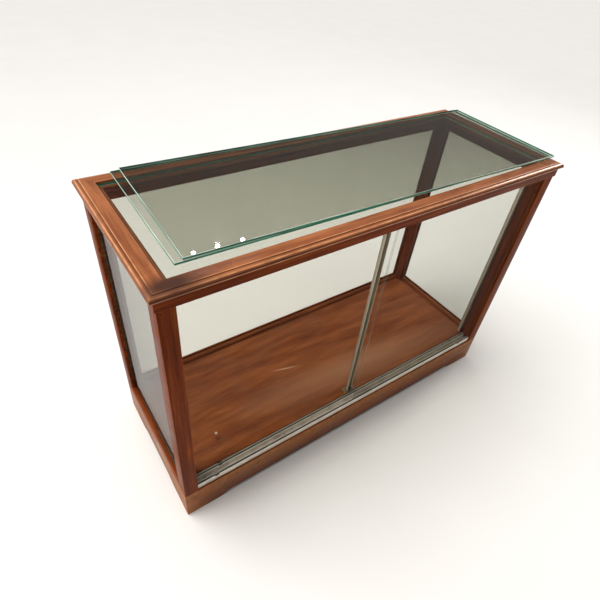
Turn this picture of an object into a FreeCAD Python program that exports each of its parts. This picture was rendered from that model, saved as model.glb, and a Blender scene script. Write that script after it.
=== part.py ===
"""Glazed wooden display case with a twin-channel door track, shelf standards and loose glass shelves.

Millimetres, +Z up. The origin is on the floor under the middle of the case. X runs along the case,
the door side faces -Y and the fixed glass back faces +Y.
"""
import FreeCAD, Part
import os
from math import asin, cos, sin

Vector = FreeCAD.Vector

# Overall size
CASE_LENGTH = 1220.0
CASE_DEPTH = 462.0
CASE_HEIGHT = 828.0
NOSE_OVERHANG = 12.0

# Plinth
PLINTH_HEIGHT = 105.0
PLINTH_THICKNESS = 22.0
FOOT_LENGTH = 95.0
FOOT_CURVE = 50.0
FOOT_RAISE = 13.0
BLOCK_SIZE = 30.0
BLOCK_HEIGHT = 40.0
CLEAT_WIDTH = 32.0
CLEAT_HEIGHT = 20.0
BEARER_WIDTH = 44.0

# Deck, sill rails and posts
DECK_THICKNESS = 20.0
DECK_FRONT_SETBACK = 38.0
SILL_WIDTH = 27.0
POST_WIDTH = 38.0
POST_DEPTH = 44.0
POST_ROUND = 1.5
FIT_GAP = 0.3

# Glazing
GLASS = 5.0
TOP_GLASS = 6.0
GLASS_INSET = 10.0
GLASS_SEAM = 0.6
REBATE = 8.0
GROOVE_PLAY = 0.2
BEAD_HEIGHT = 12.0
BEAD_ROUND = 6.0
INNER_BEAD = 12.0

# Header frame and moulded top frame
HEADER_HEIGHT = 21.0
HEADER_PROUD = 3.0
HEADER_WIDTH = 47.0
TOP_THICKNESS = 20.0
TOP_RIM = 41.0
TOP_LEDGE = 10.0
TOP_GLASS_RECESS = 5.0
TOP_GLASS_PLAY = 0.5

# Sliding door track, a twin-channel extrusion and its upper guide
TRACK_SETBACK = 5.0
TRACK_WALL = 1.4
TRACK_CHANNEL = 6.0
TRACK_TROUGH = 13.2
TRACK_HEIGHT = 18.5
TRACK_FLOOR = 11.0
TRACK_RIB = (1.2, 4.0)
TRACK_SCREW_SETBACK = 24.2
GUIDE_HEIGHT = 16.0
GUIDE_DEPTH = 17.0
NOTCH_WIDTH = 12.0
NOTCH_CENTRE = 489.0
NOTCH_STAGGER = 11.0
LINER_THICKNESS = 1.0

# Sliding doors
DOOR_GLASS = 4.5
DOOR_SIDE_PLAY = 1.0
DOOR_OVERLAP = 24.0
DOOR_LIFT = 0.3
DOOR_ENGAGEMENT = 7.5

# Shelf standards
STANDARD_WIDTHS = {"left": 22.0, "centre": 16.0, "right": 22.0}
STANDARD_DEPTH = 11.0
STANDARD_WALL = 1.5
STANDARD_CENTRES = {"left": -558.0, "centre": 0.0, "right": 558.0}
STANDARD_HEADROOM = 6.0
SLOT_WIDTH = 3.0
SLOT_HEIGHT = 14.0
SLOT_PITCH = 25.0
SLOT_COUNT = 25
SLOT_COLUMN = 4.0
FOOT_PLATE = (42.0, 20.0, 1.5)
FOOT_PLATE_FRONT = 0.4
FOOT_SCREW_X = 16.0
CENTRE_SCREW_HEIGHT = 795.0
CENTRE_SCREW_BITE = 6.0
END_SCREW_HEIGHTS = (143.5, 778.5)
END_SCREW_OFFSET = 6.0
END_SCREW_BITE = 14.0

# Loose shelves lying on the top frame
SHELF_SIZES = ((1136.0, 380.0), (1116.0, 377.0))
SHELF_THICKNESS = 6.0
SHELF_GAP = 0.2
SHELF_PLACES = ((35.5, 14.5, -1.07), (43.5, 7.5, -1.68))

# Fasteners
SCREW_RADIUS = 1.9
SCREW_HEAD_RADIUS = 3.6
SCREW_HEAD_HEIGHT = 2.2
POST_SCREW_REACH = 35.0
HEADER_SCREW_LENGTH = 45.0
SMALL_SCREW_RADIUS = 1.3
SMALL_HEAD_RADIUS = 2.6
SMALL_HEAD_HEIGHT = 1.4
SMALL_SCREW_LENGTH = 14.0
NAIL_RADIUS = 1.2
NAIL_LENGTH = 30.0
HEADER_NAIL = (568.0, 3.0)
POST_NAIL = (589.5, 9.0)

# Worked out from the driving dimensions
TOP_REACH = (CASE_LENGTH / 2, CASE_DEPTH / 2)
BODY_REACH = (TOP_REACH[0] - NOSE_OVERHANG, TOP_REACH[1] - NOSE_OVERHANG)
HEADER_REACH = (BODY_REACH[0] + HEADER_PROUD, BODY_REACH[1] + HEADER_PROUD)
TOP_BOTTOM = CASE_HEIGHT - TOP_THICKNESS
HEADER_BOTTOM = TOP_BOTTOM - HEADER_HEIGHT
DECK_TOP = PLINTH_HEIGHT + DECK_THICKNESS
POST_INNER_X = BODY_REACH[0] - POST_WIDTH
POST_INNER_Y = BODY_REACH[1] - POST_DEPTH
DOOR_SIDE_Y = -BODY_REACH[1]
TRACK_WIDTH = 4 * TRACK_WALL + 2 * TRACK_CHANNEL + TRACK_TROUGH
REAR_CHANNEL = TRACK_SETBACK + 3 * TRACK_WALL + TRACK_CHANNEL + TRACK_TROUGH
FRONT_CHANNEL = TRACK_SETBACK + TRACK_WALL
GUIDE_TOP = HEADER_BOTTOM + GUIDE_DEPTH
STANDARD_FRONT = -POST_INNER_Y
STANDARD_TOP = TOP_BOTTOM - STANDARD_HEADROOM
SIDES = ("front", "back", "left", "right")
GLAZED_SIDES = ("back", "left", "right")
CORNERS = {"front_left": (-1, -1), "front_right": (1, -1), "back_left": (-1, 1), "back_right": (1, 1)}


def box(x0, x1, y0, y1, z0, z1):
    """A box between two corners."""
    return Part.makeBox(x1 - x0, y1 - y0, z1 - z0, Vector(x0, y0, z0))


def corner_box(sx, sy, x0, x1, y0, y1, z0, z1):
    """A box in the quarter of the plan that the signs point to, from distances off the middle."""
    xs, ys = sorted((sx * x0, sx * x1)), sorted((sy * y0, sy * y1))
    return box(xs[0], xs[1], ys[0], ys[1], z0, z1)


def on_side(side, reach, along, inward, height):
    """The point this far along a side of the case, inward from its outer face, and up."""
    if side == "front":
        return Vector(along, -reach[1] + inward, height)
    if side == "back":
        return Vector(-along, reach[1] - inward, height)
    if side == "left":
        return Vector(-reach[0] + inward, -along, height)
    return Vector(reach[0] - inward, along, height)


def half_length(side, reach):
    return reach[0] if side in ("front", "back") else reach[1]


def closed_wire(points, place):
    """A closed wire. A point is (u, v), or (u, v, mid_u, mid_v) where an arc leads to it."""
    edges = []
    for index, point in enumerate(points):
        start = place(*points[index - 1][:2])
        end = place(*point[:2])
        if len(point) == 4:
            edges.append(Part.Arc(start, place(*point[2:]), end).toShape())
        else:
            edges.append(Part.LineSegment(start, end).toShape())
    return Part.Wire(edges)


def side_strip(side, reach, section, start, end):
    """A strip with the given (inward, height) section, running along one side from start to end."""
    wire = closed_wire(section, lambda u, v: on_side(side, reach, start, u, v))
    run = on_side(side, reach, end, 0, 0) - on_side(side, reach, start, 0, 0)
    return Part.Face(wire).extrude(run)


def mitred_rail(side, reach, section, width):
    """A strip along a whole side, with both ends cut at 45 degrees for a picture-frame joint."""
    half = half_length(side, reach)
    heights = [point[1] for point in section]
    bottom, top = min(heights) - 1, max(heights) + 1
    plan = [(-half, 0), (half, 0), (half - width, width), (-half + width, width)]
    wire = closed_wire(plan, lambda s, u: on_side(side, reach, s, u, bottom))
    prism = Part.Face(wire).extrude(Vector(0, 0, top - bottom))
    return side_strip(side, reach, section, -half, half).common(prism)


def rectangle(width, bottom, top, start=0.0):
    return [(start, bottom), (start + width, bottom), (start + width, top), (start, top)]


def rounded(shape, radius, wanted):
    """Fillet the edges that the test picks out."""
    return shape.makeFillet(radius, [edge for edge in shape.Edges if wanted(edge)])


def is_vertical(edge):
    bounds = edge.BoundBox
    return bounds.XLength < 0.01 and bounds.YLength < 0.01


def without(shape, tools):
    for tool in tools:
        shape = shape.cut(tool)
    return shape


def countersunk_screw(head, direction, length):
    """A wood screw whose flat head is centred on a point and whose shank runs along direction."""
    cone = Part.makeCone(SCREW_HEAD_RADIUS, SCREW_RADIUS, SCREW_HEAD_HEIGHT, head, direction)
    shank = Part.makeCylinder(SCREW_RADIUS, length, head, direction)
    return cone.fuse(shank).removeSplitter()


def round_head_screw(seat, direction, length=SMALL_SCREW_LENGTH):
    """A small screw whose rounded head sits on a face at seat and whose shank runs along direction."""
    outer = seat - direction * SMALL_HEAD_HEIGHT
    head = Part.makeCylinder(SMALL_HEAD_RADIUS, SMALL_HEAD_HEIGHT, outer, direction)
    head = rounded(head, SMALL_HEAD_HEIGHT * 0.7,
                   lambda edge: (edge.BoundBox.Center - outer).Length < 0.01)
    shank = Part.makeCylinder(SMALL_SCREW_RADIUS, length, seat, direction)
    return head.fuse(shank).removeSplitter()


# Fasteners first, because the pieces that they hold are cut to suit them

def post_screws():
    """Four screws up through the corner blocks and cleats into the feet of the posts."""
    x, y = (reach - PLINTH_THICKNESS - BLOCK_SIZE / 2 + 4 for reach in BODY_REACH)
    bottom = PLINTH_HEIGHT - CLEAT_HEIGHT - BLOCK_HEIGHT
    length = PLINTH_HEIGHT - bottom + POST_SCREW_REACH
    return [countersunk_screw(Vector(sx * x, sy * y, bottom), Vector(0, 0, 1), length)
            for sx, sy in CORNERS.values()]


def header_screws():
    """Two screws at each corner, down through the header rails into the top of the post."""
    down = Vector(0, 0, -1)
    spots = [(HEADER_REACH[0] - 16, HEADER_REACH[1] - 32), (HEADER_REACH[0] - 28, HEADER_REACH[1] - 15)]
    return [countersunk_screw(Vector(sx * x, sy * y, TOP_BOTTOM), down, HEADER_SCREW_LENGTH)
            for sx, sy in CORNERS.values() for x, y in spots]


def header_nails():
    """Two finishing nails at each front corner, one in the header and one in the post."""
    nails = []
    for sx in (-1, 1):
        header_spot = Vector(sx * HEADER_NAIL[0], -HEADER_REACH[1], HEADER_BOTTOM + HEADER_NAIL[1])
        post_spot = Vector(sx * POST_NAIL[0], -BODY_REACH[1], HEADER_BOTTOM - POST_NAIL[1])
        nails += [Part.makeCylinder(NAIL_RADIUS, NAIL_LENGTH, spot, Vector(0, 1, 0))
                  for spot in (header_spot, post_spot)]
    return nails


def track_screws():
    """Screws down through the trough of the door track into the cleat."""
    y = DOOR_SIDE_Y + TRACK_SCREW_SETBACK
    return [round_head_screw(Vector(x, y, PLINTH_HEIGHT + TRACK_WALL), Vector(0, 0, -1))
            for x in (-530, -265, 0, 265, 530)]


def guide_screws():
    """Screws up through the roof of the door guide into the header and the top frame."""
    y = DOOR_SIDE_Y + TRACK_SCREW_SETBACK
    return [round_head_screw(Vector(x, y, GUIDE_TOP - TRACK_WALL), Vector(0, 0, 1))
            for x in (-530, -265, 0, 265, 530)]


def foot_screws():
    """Two screws through the foot plate of the centre standard into the deck."""
    y = DOOR_SIDE_Y + DECK_FRONT_SETBACK + FOOT_PLATE_FRONT + FOOT_PLATE[1] / 2
    return [round_head_screw(Vector(x, y, DECK_TOP + FOOT_PLATE[2]), Vector(0, 0, -1))
            for x in (-FOOT_SCREW_X, FOOT_SCREW_X)]


def standard_screws():
    """Screws through the webs of the standards: into the header at the centre, the posts at the ends."""
    seat = STANDARD_FRONT + STANDARD_DEPTH
    spots = [(0.0, CENTRE_SCREW_HEIGHT, CENTRE_SCREW_BITE)]
    for name in ("left", "right"):
        centre = STANDARD_CENTRES[name]
        x = centre + END_SCREW_OFFSET * centre / abs(centre)
        spots += [(x, z, END_SCREW_BITE) for z in END_SCREW_HEIGHTS]
    return [round_head_screw(Vector(x, seat, z), Vector(0, -1, 0), STANDARD_DEPTH + bite)
            for x, z, bite in spots]


# Plinth

def foot_outline(half):
    """The plinth board's outline: shallow bracket feet with a soft double curve up to the raised edge."""
    radius = (FOOT_CURVE ** 2 + FOOT_RAISE ** 2) / (4 * FOOT_RAISE)
    half_turn = asin(FOOT_CURVE / 2 / radius) / 2
    sag_along, sag_up = radius * sin(half_turn), radius * (1 - cos(half_turn))
    toe = half - FOOT_LENGTH
    knee = toe - FOOT_CURVE / 2
    rise = toe - FOOT_CURVE
    right = [(toe, 0), (knee, FOOT_RAISE / 2, toe - sag_along, sag_up),
             (rise, FOOT_RAISE, rise + sag_along, FOOT_RAISE - sag_up)]
    left = [(-rise, FOOT_RAISE), (-knee, FOOT_RAISE / 2, -rise - sag_along, FOOT_RAISE - sag_up),
            (-toe, 0, -toe + sag_along, sag_up)]
    return [(-half, 0), (-half, PLINTH_HEIGHT), (half, PLINTH_HEIGHT), (half, 0)] + right + left


def plinth_board(side):
    half = half_length(side, BODY_REACH)
    wire = closed_wire(foot_outline(half), lambda s, v: on_side(side, BODY_REACH, s, 0, v))
    inward = on_side(side, BODY_REACH, 0, PLINTH_THICKNESS, 0) - on_side(side, BODY_REACH, 0, 0, 0)
    shaped = Part.Face(wire).extrude(inward)
    section = rectangle(PLINTH_THICKNESS, 0, PLINTH_HEIGHT)
    return shaped.common(mitred_rail(side, BODY_REACH, section, PLINTH_THICKNESS))


def corner_blocks(screws):
    """Glue blocks standing in the four inner corners of the plinth."""
    outer_x, outer_y = (reach - PLINTH_THICKNESS for reach in BODY_REACH)
    top = PLINTH_HEIGHT - CLEAT_HEIGHT
    blocks = [corner_box(sx, sy, outer_x - BLOCK_SIZE, outer_x, outer_y - BLOCK_SIZE, outer_y,
                         top - BLOCK_HEIGHT, top) for sx, sy in CORNERS.values()]
    return [without(block, screws) for block in blocks]


def deck_cleats(screws):
    """Strips inside the plinth that the deck and the track rest on."""
    outer_x, outer_y = (reach - PLINTH_THICKNESS for reach in BODY_REACH)
    bottom = PLINTH_HEIGHT - CLEAT_HEIGHT
    inner_y = outer_y - CLEAT_WIDTH
    long_front = box(-outer_x, outer_x, -outer_y, -inner_y, bottom, PLINTH_HEIGHT)
    long_back = box(-outer_x, outer_x, inner_y, outer_y, bottom, PLINTH_HEIGHT)
    short_left = box(-outer_x, CLEAT_WIDTH - outer_x, -inner_y, inner_y, bottom, PLINTH_HEIGHT)
    short_right = box(outer_x - CLEAT_WIDTH, outer_x, -inner_y, inner_y, bottom, PLINTH_HEIGHT)
    return [without(cleat, screws) for cleat in (long_front, long_back, short_left, short_right)]


def deck_bearer():
    """The cross bearer under the middle of the deck."""
    inner_y = BODY_REACH[1] - PLINTH_THICKNESS - CLEAT_WIDTH
    bottom = PLINTH_HEIGHT - CLEAT_HEIGHT
    return box(-BEARER_WIDTH / 2, BEARER_WIDTH / 2, -inner_y, inner_y, bottom, PLINTH_HEIGHT)


# Deck, sills and posts

def deck_board(screws):
    inner_x, inner_y = BODY_REACH[0] - SILL_WIDTH, BODY_REACH[1] - SILL_WIDTH
    board = box(-inner_x, inner_x, DOOR_SIDE_Y + DECK_FRONT_SETBACK, inner_y, PLINTH_HEIGHT, DECK_TOP)
    notches = [corner_box(sx, sy, POST_INNER_X - FIT_GAP, BODY_REACH[0], POST_INNER_Y - FIT_GAP,
                          BODY_REACH[1], PLINTH_HEIGHT - 1, DECK_TOP + 1) for sx, sy in CORNERS.values()]
    return without(board, notches + screws)


def sill_rail(side):
    half = POST_INNER_X if side == "back" else POST_INNER_Y
    return side_strip(side, BODY_REACH, rectangle(SILL_WIDTH, PLINTH_HEIGHT, DECK_TOP), -half, half)


def corner_post(sx, sy, cutters):
    """A square post, rebated on the outer edge of each side that meets fixed glass."""
    post = corner_box(sx, sy, POST_INNER_X, BODY_REACH[0], POST_INNER_Y, BODY_REACH[1],
                      PLINTH_HEIGHT, HEADER_BOTTOM)
    outer = (sx * BODY_REACH[0], sy * BODY_REACH[1])

    def is_outer(edge):
        middle = edge.BoundBox.Center
        return is_vertical(edge) and (abs(middle.x - outer[0]) < 0.01 or abs(middle.y - outer[1]) < 0.01)

    post = rounded(post, POST_ROUND, is_outer)
    depth = GLASS_INSET + GLASS
    end_rebate = corner_box(sx, sy, BODY_REACH[0] - depth, BODY_REACH[0] + 1, POST_INNER_Y - 1,
                            POST_INNER_Y + REBATE, DECK_TOP, HEADER_BOTTOM + 1)
    rebates = [end_rebate]
    if sy > 0:
        rebates.append(corner_box(sx, sy, POST_INNER_X - 1, POST_INNER_X + REBATE, BODY_REACH[1] - depth,
                                  BODY_REACH[1] + 1, DECK_TOP, HEADER_BOTTOM + 1))
    return without(post, rebates + cutters)


# Fixed glazing and its beads

def glazing_half(side):
    return (POST_INNER_X if side == "back" else POST_INNER_Y) + REBATE


def fixed_pane(side):
    half = glazing_half(side) - GROOVE_PLAY
    section = rectangle(GLASS, DECK_TOP, HEADER_BOTTOM + REBATE - GROOVE_PLAY, GLASS_INSET)
    return side_strip(side, BODY_REACH, section, -half, half)


def outer_beads(side):
    """The beads outside a fixed pane: one along the sill and one in each post's rebate."""
    half = glazing_half(side)
    top = DECK_TOP + BEAD_HEIGHT
    bend = BEAD_ROUND * (1 - cos(asin(1) / 2))
    low = [(0, DECK_TOP), (GLASS_INSET, DECK_TOP), (GLASS_INSET, top), (BEAD_ROUND, top),
           (0, top - BEAD_ROUND, bend, top - bend)]
    sill_bead = side_strip(side, BODY_REACH, low, -half, half)
    upright = [(1.0, top), (GLASS_INSET, top), (GLASS_INSET, HEADER_BOTTOM), (1.0, HEADER_BOTTOM)]
    side_beads = [side_strip(side, BODY_REACH, upright, sign * (half - REBATE), sign * half)
                  for sign in (-1, 1)]
    return [sill_bead] + side_beads


def inner_bead(side):
    """The quarter-round bead that backs a fixed pane along the deck."""
    half = (POST_INNER_X if side == "back" else POST_INNER_Y) - FIT_GAP
    start = GLASS_INSET + GLASS
    end = start + INNER_BEAD
    top = DECK_TOP + INNER_BEAD
    radius = INNER_BEAD - 2.0
    bend = radius * (1 - cos(asin(1) / 2))
    section = [(start, DECK_TOP), (end, DECK_TOP), (end, top - radius),
               (end - radius, top, end - bend, top - bend), (start, top)]
    return side_strip(side, BODY_REACH, section, -half, half)


# Header frame and top frame

def header_rail(side, cutters):
    """A mitred rail on top of the posts: grooved for fixed glass, or for the doors' upper guide."""
    section = rectangle(HEADER_WIDTH, HEADER_BOTTOM, TOP_BOTTOM)
    rail = mitred_rail(side, HEADER_REACH, section, HEADER_WIDTH)
    if side == "front":
        groove = box(-POST_INNER_X, POST_INNER_X, DOOR_SIDE_Y + TRACK_SETBACK - GROOVE_PLAY,
                     DOOR_SIDE_Y + TRACK_SETBACK + TRACK_WIDTH + GROOVE_PLAY, HEADER_BOTTOM - 1, GUIDE_TOP)
    else:
        half = glazing_half(side)
        slot = rectangle(GLASS + 2 * GROOVE_PLAY, HEADER_BOTTOM - 1, HEADER_BOTTOM + REBATE,
                         GLASS_INSET - GROOVE_PLAY)
        groove = side_strip(side, BODY_REACH, slot, -half, half)
    return without(rail, [groove] + cutters)


def top_section():
    """The moulded section: flat top, quirk, thumbnail bead, small lower bead, cove and glass rebate."""
    top = CASE_HEIGHT
    ledge = top - TOP_GLASS_RECESS - TOP_GLASS
    return [
        (NOSE_OVERHANG, top),
        (NOSE_OVERHANG, top - 1.6),
        (1.3, top - 7.4, 4.6, top - 3.0),
        (2.6, top - 8.0),
        (2.6, top - 13.4, 0.0, top - 10.7),
        (4.4, top - 13.8),
        (9.0, TOP_BOTTOM, 7.7, top - 16.2),
        (TOP_RIM + TOP_LEDGE, TOP_BOTTOM),
        (TOP_RIM + TOP_LEDGE, ledge),
        (TOP_RIM, ledge),
        (TOP_RIM, top - 1.0),
        (TOP_RIM - 1.0, top, TOP_RIM - 0.3, top - 0.3),
    ]


def top_rail(side, cutters):
    return without(mitred_rail(side, TOP_REACH, top_section(), TOP_RIM + TOP_LEDGE), cutters)


def seamed_sheet(length, width, thickness):
    """A sheet of glass centred on the origin, resting on z = 0, with its sharp edges taken off."""
    sheet = box(-length / 2, length / 2, -width / 2, width / 2, 0, thickness)
    return sheet.makeChamfer(GLASS_SEAM, sheet.Edges)


def top_pane():
    length = 2 * (TOP_REACH[0] - TOP_RIM - TOP_GLASS_PLAY)
    width = 2 * (TOP_REACH[1] - TOP_RIM - TOP_GLASS_PLAY)
    pane = seamed_sheet(length, width, TOP_GLASS)
    pane.translate(Vector(0, 0, CASE_HEIGHT - TOP_GLASS_RECESS - TOP_GLASS))
    return pane


def loose_shelf(level):
    """A loose glass shelf lying on the top frame, a little askew."""
    x, y, turn = SHELF_PLACES[level]
    shelf = seamed_sheet(*SHELF_SIZES[level], SHELF_THICKNESS)
    shelf.rotate(Vector(0, 0, 0), Vector(0, 0, 1), turn)
    shelf.translate(Vector(x, y, CASE_HEIGHT + SHELF_GAP + level * (SHELF_THICKNESS + SHELF_GAP)))
    return shelf


# Door track, guide and doors

def channel_walls(bottom, top):
    """The four thin walls that make the two door channels."""
    starts = (TRACK_SETBACK, FRONT_CHANNEL + TRACK_CHANNEL, REAR_CHANNEL - TRACK_WALL,
              REAR_CHANNEL + TRACK_CHANNEL)
    length = POST_INNER_X - FIT_GAP
    return [box(-length, length, DOOR_SIDE_Y + y, DOOR_SIDE_Y + y + TRACK_WALL, bottom, top) for y in starts]


def bottom_track(screws):
    length = POST_INNER_X - FIT_GAP
    front = DOOR_SIDE_Y + TRACK_SETBACK
    base = box(-length, length, front, front + TRACK_WIDTH, PLINTH_HEIGHT, PLINTH_HEIGHT + TRACK_WALL)
    floor_top = PLINTH_HEIGHT + TRACK_FLOOR
    floors = [box(-length, length, DOOR_SIDE_Y + y, DOOR_SIDE_Y + y + TRACK_CHANNEL,
                  floor_top - TRACK_WALL, floor_top) for y in (FRONT_CHANNEL, REAR_CHANNEL)]
    top = PLINTH_HEIGHT + TRACK_HEIGHT
    middle = front + TRACK_WIDTH / 2
    rib = box(-length, length, middle - TRACK_RIB[0] / 2, middle + TRACK_RIB[0] / 2, PLINTH_HEIGHT,
              PLINTH_HEIGHT + TRACK_RIB[1])
    track = base.multiFuse(floors + [rib] + channel_walls(PLINTH_HEIGHT, top)).removeSplitter()
    notches = []
    for sign in (-1, 1):
        for channel, stagger in ((FRONT_CHANNEL, NOTCH_STAGGER), (REAR_CHANNEL, -NOTCH_STAGGER)):
            x = sign * (NOTCH_CENTRE + stagger)
            y = DOOR_SIDE_Y + channel - TRACK_WALL - 1
            notches.append(box(x - NOTCH_WIDTH / 2, x + NOTCH_WIDTH / 2, y,
                               y + TRACK_CHANNEL + 2 * TRACK_WALL + 2, floor_top + 2, top + 1))
    return without(track, notches + screws)


def top_guide(screws):
    length = POST_INNER_X - FIT_GAP
    front = DOOR_SIDE_Y + TRACK_SETBACK
    roof = box(-length, length, front, front + TRACK_WIDTH, GUIDE_TOP - TRACK_WALL, GUIDE_TOP)
    guide = roof.multiFuse(channel_walls(GUIDE_TOP - GUIDE_HEIGHT, GUIDE_TOP)).removeSplitter()
    return without(guide, screws)


def track_liners():
    """The slippery strips in the floor of each channel that the door glass rides on."""
    length = POST_INNER_X - 2 * FIT_GAP
    bottom = PLINTH_HEIGHT + TRACK_FLOOR
    return [box(-length, length, DOOR_SIDE_Y + y + GROOVE_PLAY, DOOR_SIDE_Y + y + TRACK_CHANNEL - GROOVE_PLAY,
                bottom, bottom + LINER_THICKNESS) for y in (FRONT_CHANNEL, REAR_CHANNEL)]


def door_pane(channel, hand):
    """A frameless glass door, closed, with its lower edge in the track and its top in the guide."""
    outer = POST_INNER_X - DOOR_SIDE_PLAY
    width = outer + DOOR_OVERLAP / 2
    bottom = PLINTH_HEIGHT + TRACK_FLOOR + LINER_THICKNESS + DOOR_LIFT
    top = HEADER_BOTTOM + GUIDE_DEPTH - GUIDE_HEIGHT + DOOR_ENGAGEMENT
    y = DOOR_SIDE_Y + channel + (TRACK_CHANNEL - DOOR_GLASS) / 2
    x0, x1 = sorted((hand * outer, hand * (outer - width)))
    pane = box(x0, x1, y, y + DOOR_GLASS, bottom, top)
    return pane.makeChamfer(GLASS_SEAM, pane.Edges)


# Shelf standards

def shelf_standard(name, screws):
    """A folded steel channel, open to the doors, with rows of slots in the web that faces inside."""
    x = STANDARD_CENTRES[name]
    bottom, top, columns = DECK_TOP, HEADER_BOTTOM, (-SLOT_COLUMN if x > 0 else SLOT_COLUMN,)
    if name == "centre":
        bottom, top, columns = DECK_TOP + FOOT_PLATE[2], STANDARD_TOP, (-SLOT_COLUMN, SLOT_COLUMN)
    half, back = STANDARD_WIDTHS[name] / 2, STANDARD_FRONT + STANDARD_DEPTH
    outer = box(x - half, x + half, STANDARD_FRONT, back, bottom, top)
    hollow = box(x - half + STANDARD_WALL, x + half - STANDARD_WALL, STANDARD_FRONT - 1,
                 back - STANDARD_WALL, bottom - 1, top + 1)
    first = (DECK_TOP + STANDARD_TOP - (SLOT_COUNT - 1) * SLOT_PITCH - SLOT_HEIGHT) / 2
    slots = [box(x + column - SLOT_WIDTH / 2, x + column + SLOT_WIDTH / 2, back - STANDARD_WALL - 1, back + 1,
                 first + row * SLOT_PITCH, first + row * SLOT_PITCH + SLOT_HEIGHT)
             for column in columns for row in range(SLOT_COUNT)]
    return without(outer.cut(hollow).cut(Part.makeCompound(slots)), screws)


def foot_plate(screws):
    """The small plate under the centre standard."""
    length, width, thickness = FOOT_PLATE
    y = DOOR_SIDE_Y + DECK_FRONT_SETBACK + FOOT_PLATE_FRONT
    return without(box(-length / 2, length / 2, y, y + width, DECK_TOP, DECK_TOP + thickness), screws)


def build():
    """Every node's name, with the solid or the list of solids that it holds."""
    fasteners = {"post_screws": post_screws(), "header_screws": header_screws(),
                 "header_nails": header_nails(), "track_screws": track_screws(),
                 "guide_screws": guide_screws(), "foot_screws": foot_screws(),
                 "standard_screws": standard_screws()}

    def through(*names):
        return [screw for name in names for screw in fasteners[name]]

    nodes = {f"plinth_{side}": plinth_board(side) for side in SIDES}
    nodes["plinth_corner_blocks"] = corner_blocks(through("post_screws"))
    nodes["deck_cleats"] = deck_cleats(through("post_screws", "track_screws"))
    nodes["deck_bearer"] = deck_bearer()
    nodes["deck_board"] = deck_board(through("foot_screws"))
    for name, (sx, sy) in CORNERS.items():
        cutters = through("post_screws", "header_screws", "header_nails", "standard_screws")
        nodes[f"post_{name}"] = corner_post(sx, sy, cutters)
    for side in GLAZED_SIDES:
        nodes[f"sill_rail_{side}"] = sill_rail(side)
        nodes[f"glass_{side}"] = fixed_pane(side)
        nodes[f"outer_beads_{side}"] = outer_beads(side)
        nodes[f"inner_bead_{side}"] = inner_bead(side)
    for side in SIDES:
        cutters = through("header_screws", "header_nails", "guide_screws", "standard_screws")
        nodes[f"header_{side}"] = header_rail(side, cutters)
        nodes[f"top_rail_{side}"] = top_rail(side, through("guide_screws"))
    nodes["glass_top"] = top_pane()
    nodes["door_track"] = bottom_track(through("track_screws"))
    nodes["door_track_liners"] = track_liners()
    nodes["door_guide"] = top_guide(through("guide_screws"))
    nodes["door_left"] = door_pane(REAR_CHANNEL, -1)
    nodes["door_right"] = door_pane(FRONT_CHANNEL, 1)
    for name in STANDARD_CENTRES:
        nodes[f"shelf_standard_{name}"] = shelf_standard(name, through("standard_screws"))
    nodes["standard_foot_plate"] = foot_plate(through("foot_screws"))
    nodes["loose_shelf_lower"] = loose_shelf(0)
    nodes["loose_shelf_upper"] = loose_shelf(1)
    nodes.update(fasteners)
    return nodes


def main():
    os.makedirs("parts", exist_ok=True)
    for name, made in build().items():
        shape = Part.makeCompound(made) if isinstance(made, list) else made
        shape.exportStep(f"parts/{name}.step")
        print(name, len(shape.Solids), round(shape.Volume / 1000, 2), "cm3", shape.isValid())


main()
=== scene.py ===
"""Glazed mahogany display case: shaped woodwork, glass, door track, shelf standards and screws.

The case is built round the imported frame, in the same place and at the same size. Lengths are written
in millimetres and turned into metres where a mesh is made.
"""
import math
import random

import bmesh
import bpy
from mathutils import Matrix, Vector


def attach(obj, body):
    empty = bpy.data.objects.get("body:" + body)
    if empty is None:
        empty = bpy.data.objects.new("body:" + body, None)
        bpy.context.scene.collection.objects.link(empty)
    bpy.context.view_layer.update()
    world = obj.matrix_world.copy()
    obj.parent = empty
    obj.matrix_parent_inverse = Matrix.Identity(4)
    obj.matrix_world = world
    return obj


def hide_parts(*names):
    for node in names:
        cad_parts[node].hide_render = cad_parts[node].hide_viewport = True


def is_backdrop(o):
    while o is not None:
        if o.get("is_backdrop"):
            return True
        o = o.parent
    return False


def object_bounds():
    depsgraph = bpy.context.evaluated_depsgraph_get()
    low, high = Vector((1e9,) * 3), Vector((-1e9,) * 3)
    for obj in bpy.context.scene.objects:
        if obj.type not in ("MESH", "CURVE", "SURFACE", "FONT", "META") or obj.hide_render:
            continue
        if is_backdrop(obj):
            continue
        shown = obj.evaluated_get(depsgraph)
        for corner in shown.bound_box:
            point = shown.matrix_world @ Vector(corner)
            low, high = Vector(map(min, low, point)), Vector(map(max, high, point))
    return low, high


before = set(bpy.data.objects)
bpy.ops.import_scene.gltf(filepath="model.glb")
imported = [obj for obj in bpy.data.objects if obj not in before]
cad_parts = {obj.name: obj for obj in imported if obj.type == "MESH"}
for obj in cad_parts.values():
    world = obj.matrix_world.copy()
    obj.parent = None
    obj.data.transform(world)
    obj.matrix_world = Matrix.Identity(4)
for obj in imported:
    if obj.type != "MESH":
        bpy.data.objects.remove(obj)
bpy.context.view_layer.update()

MM = 0.001

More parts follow.
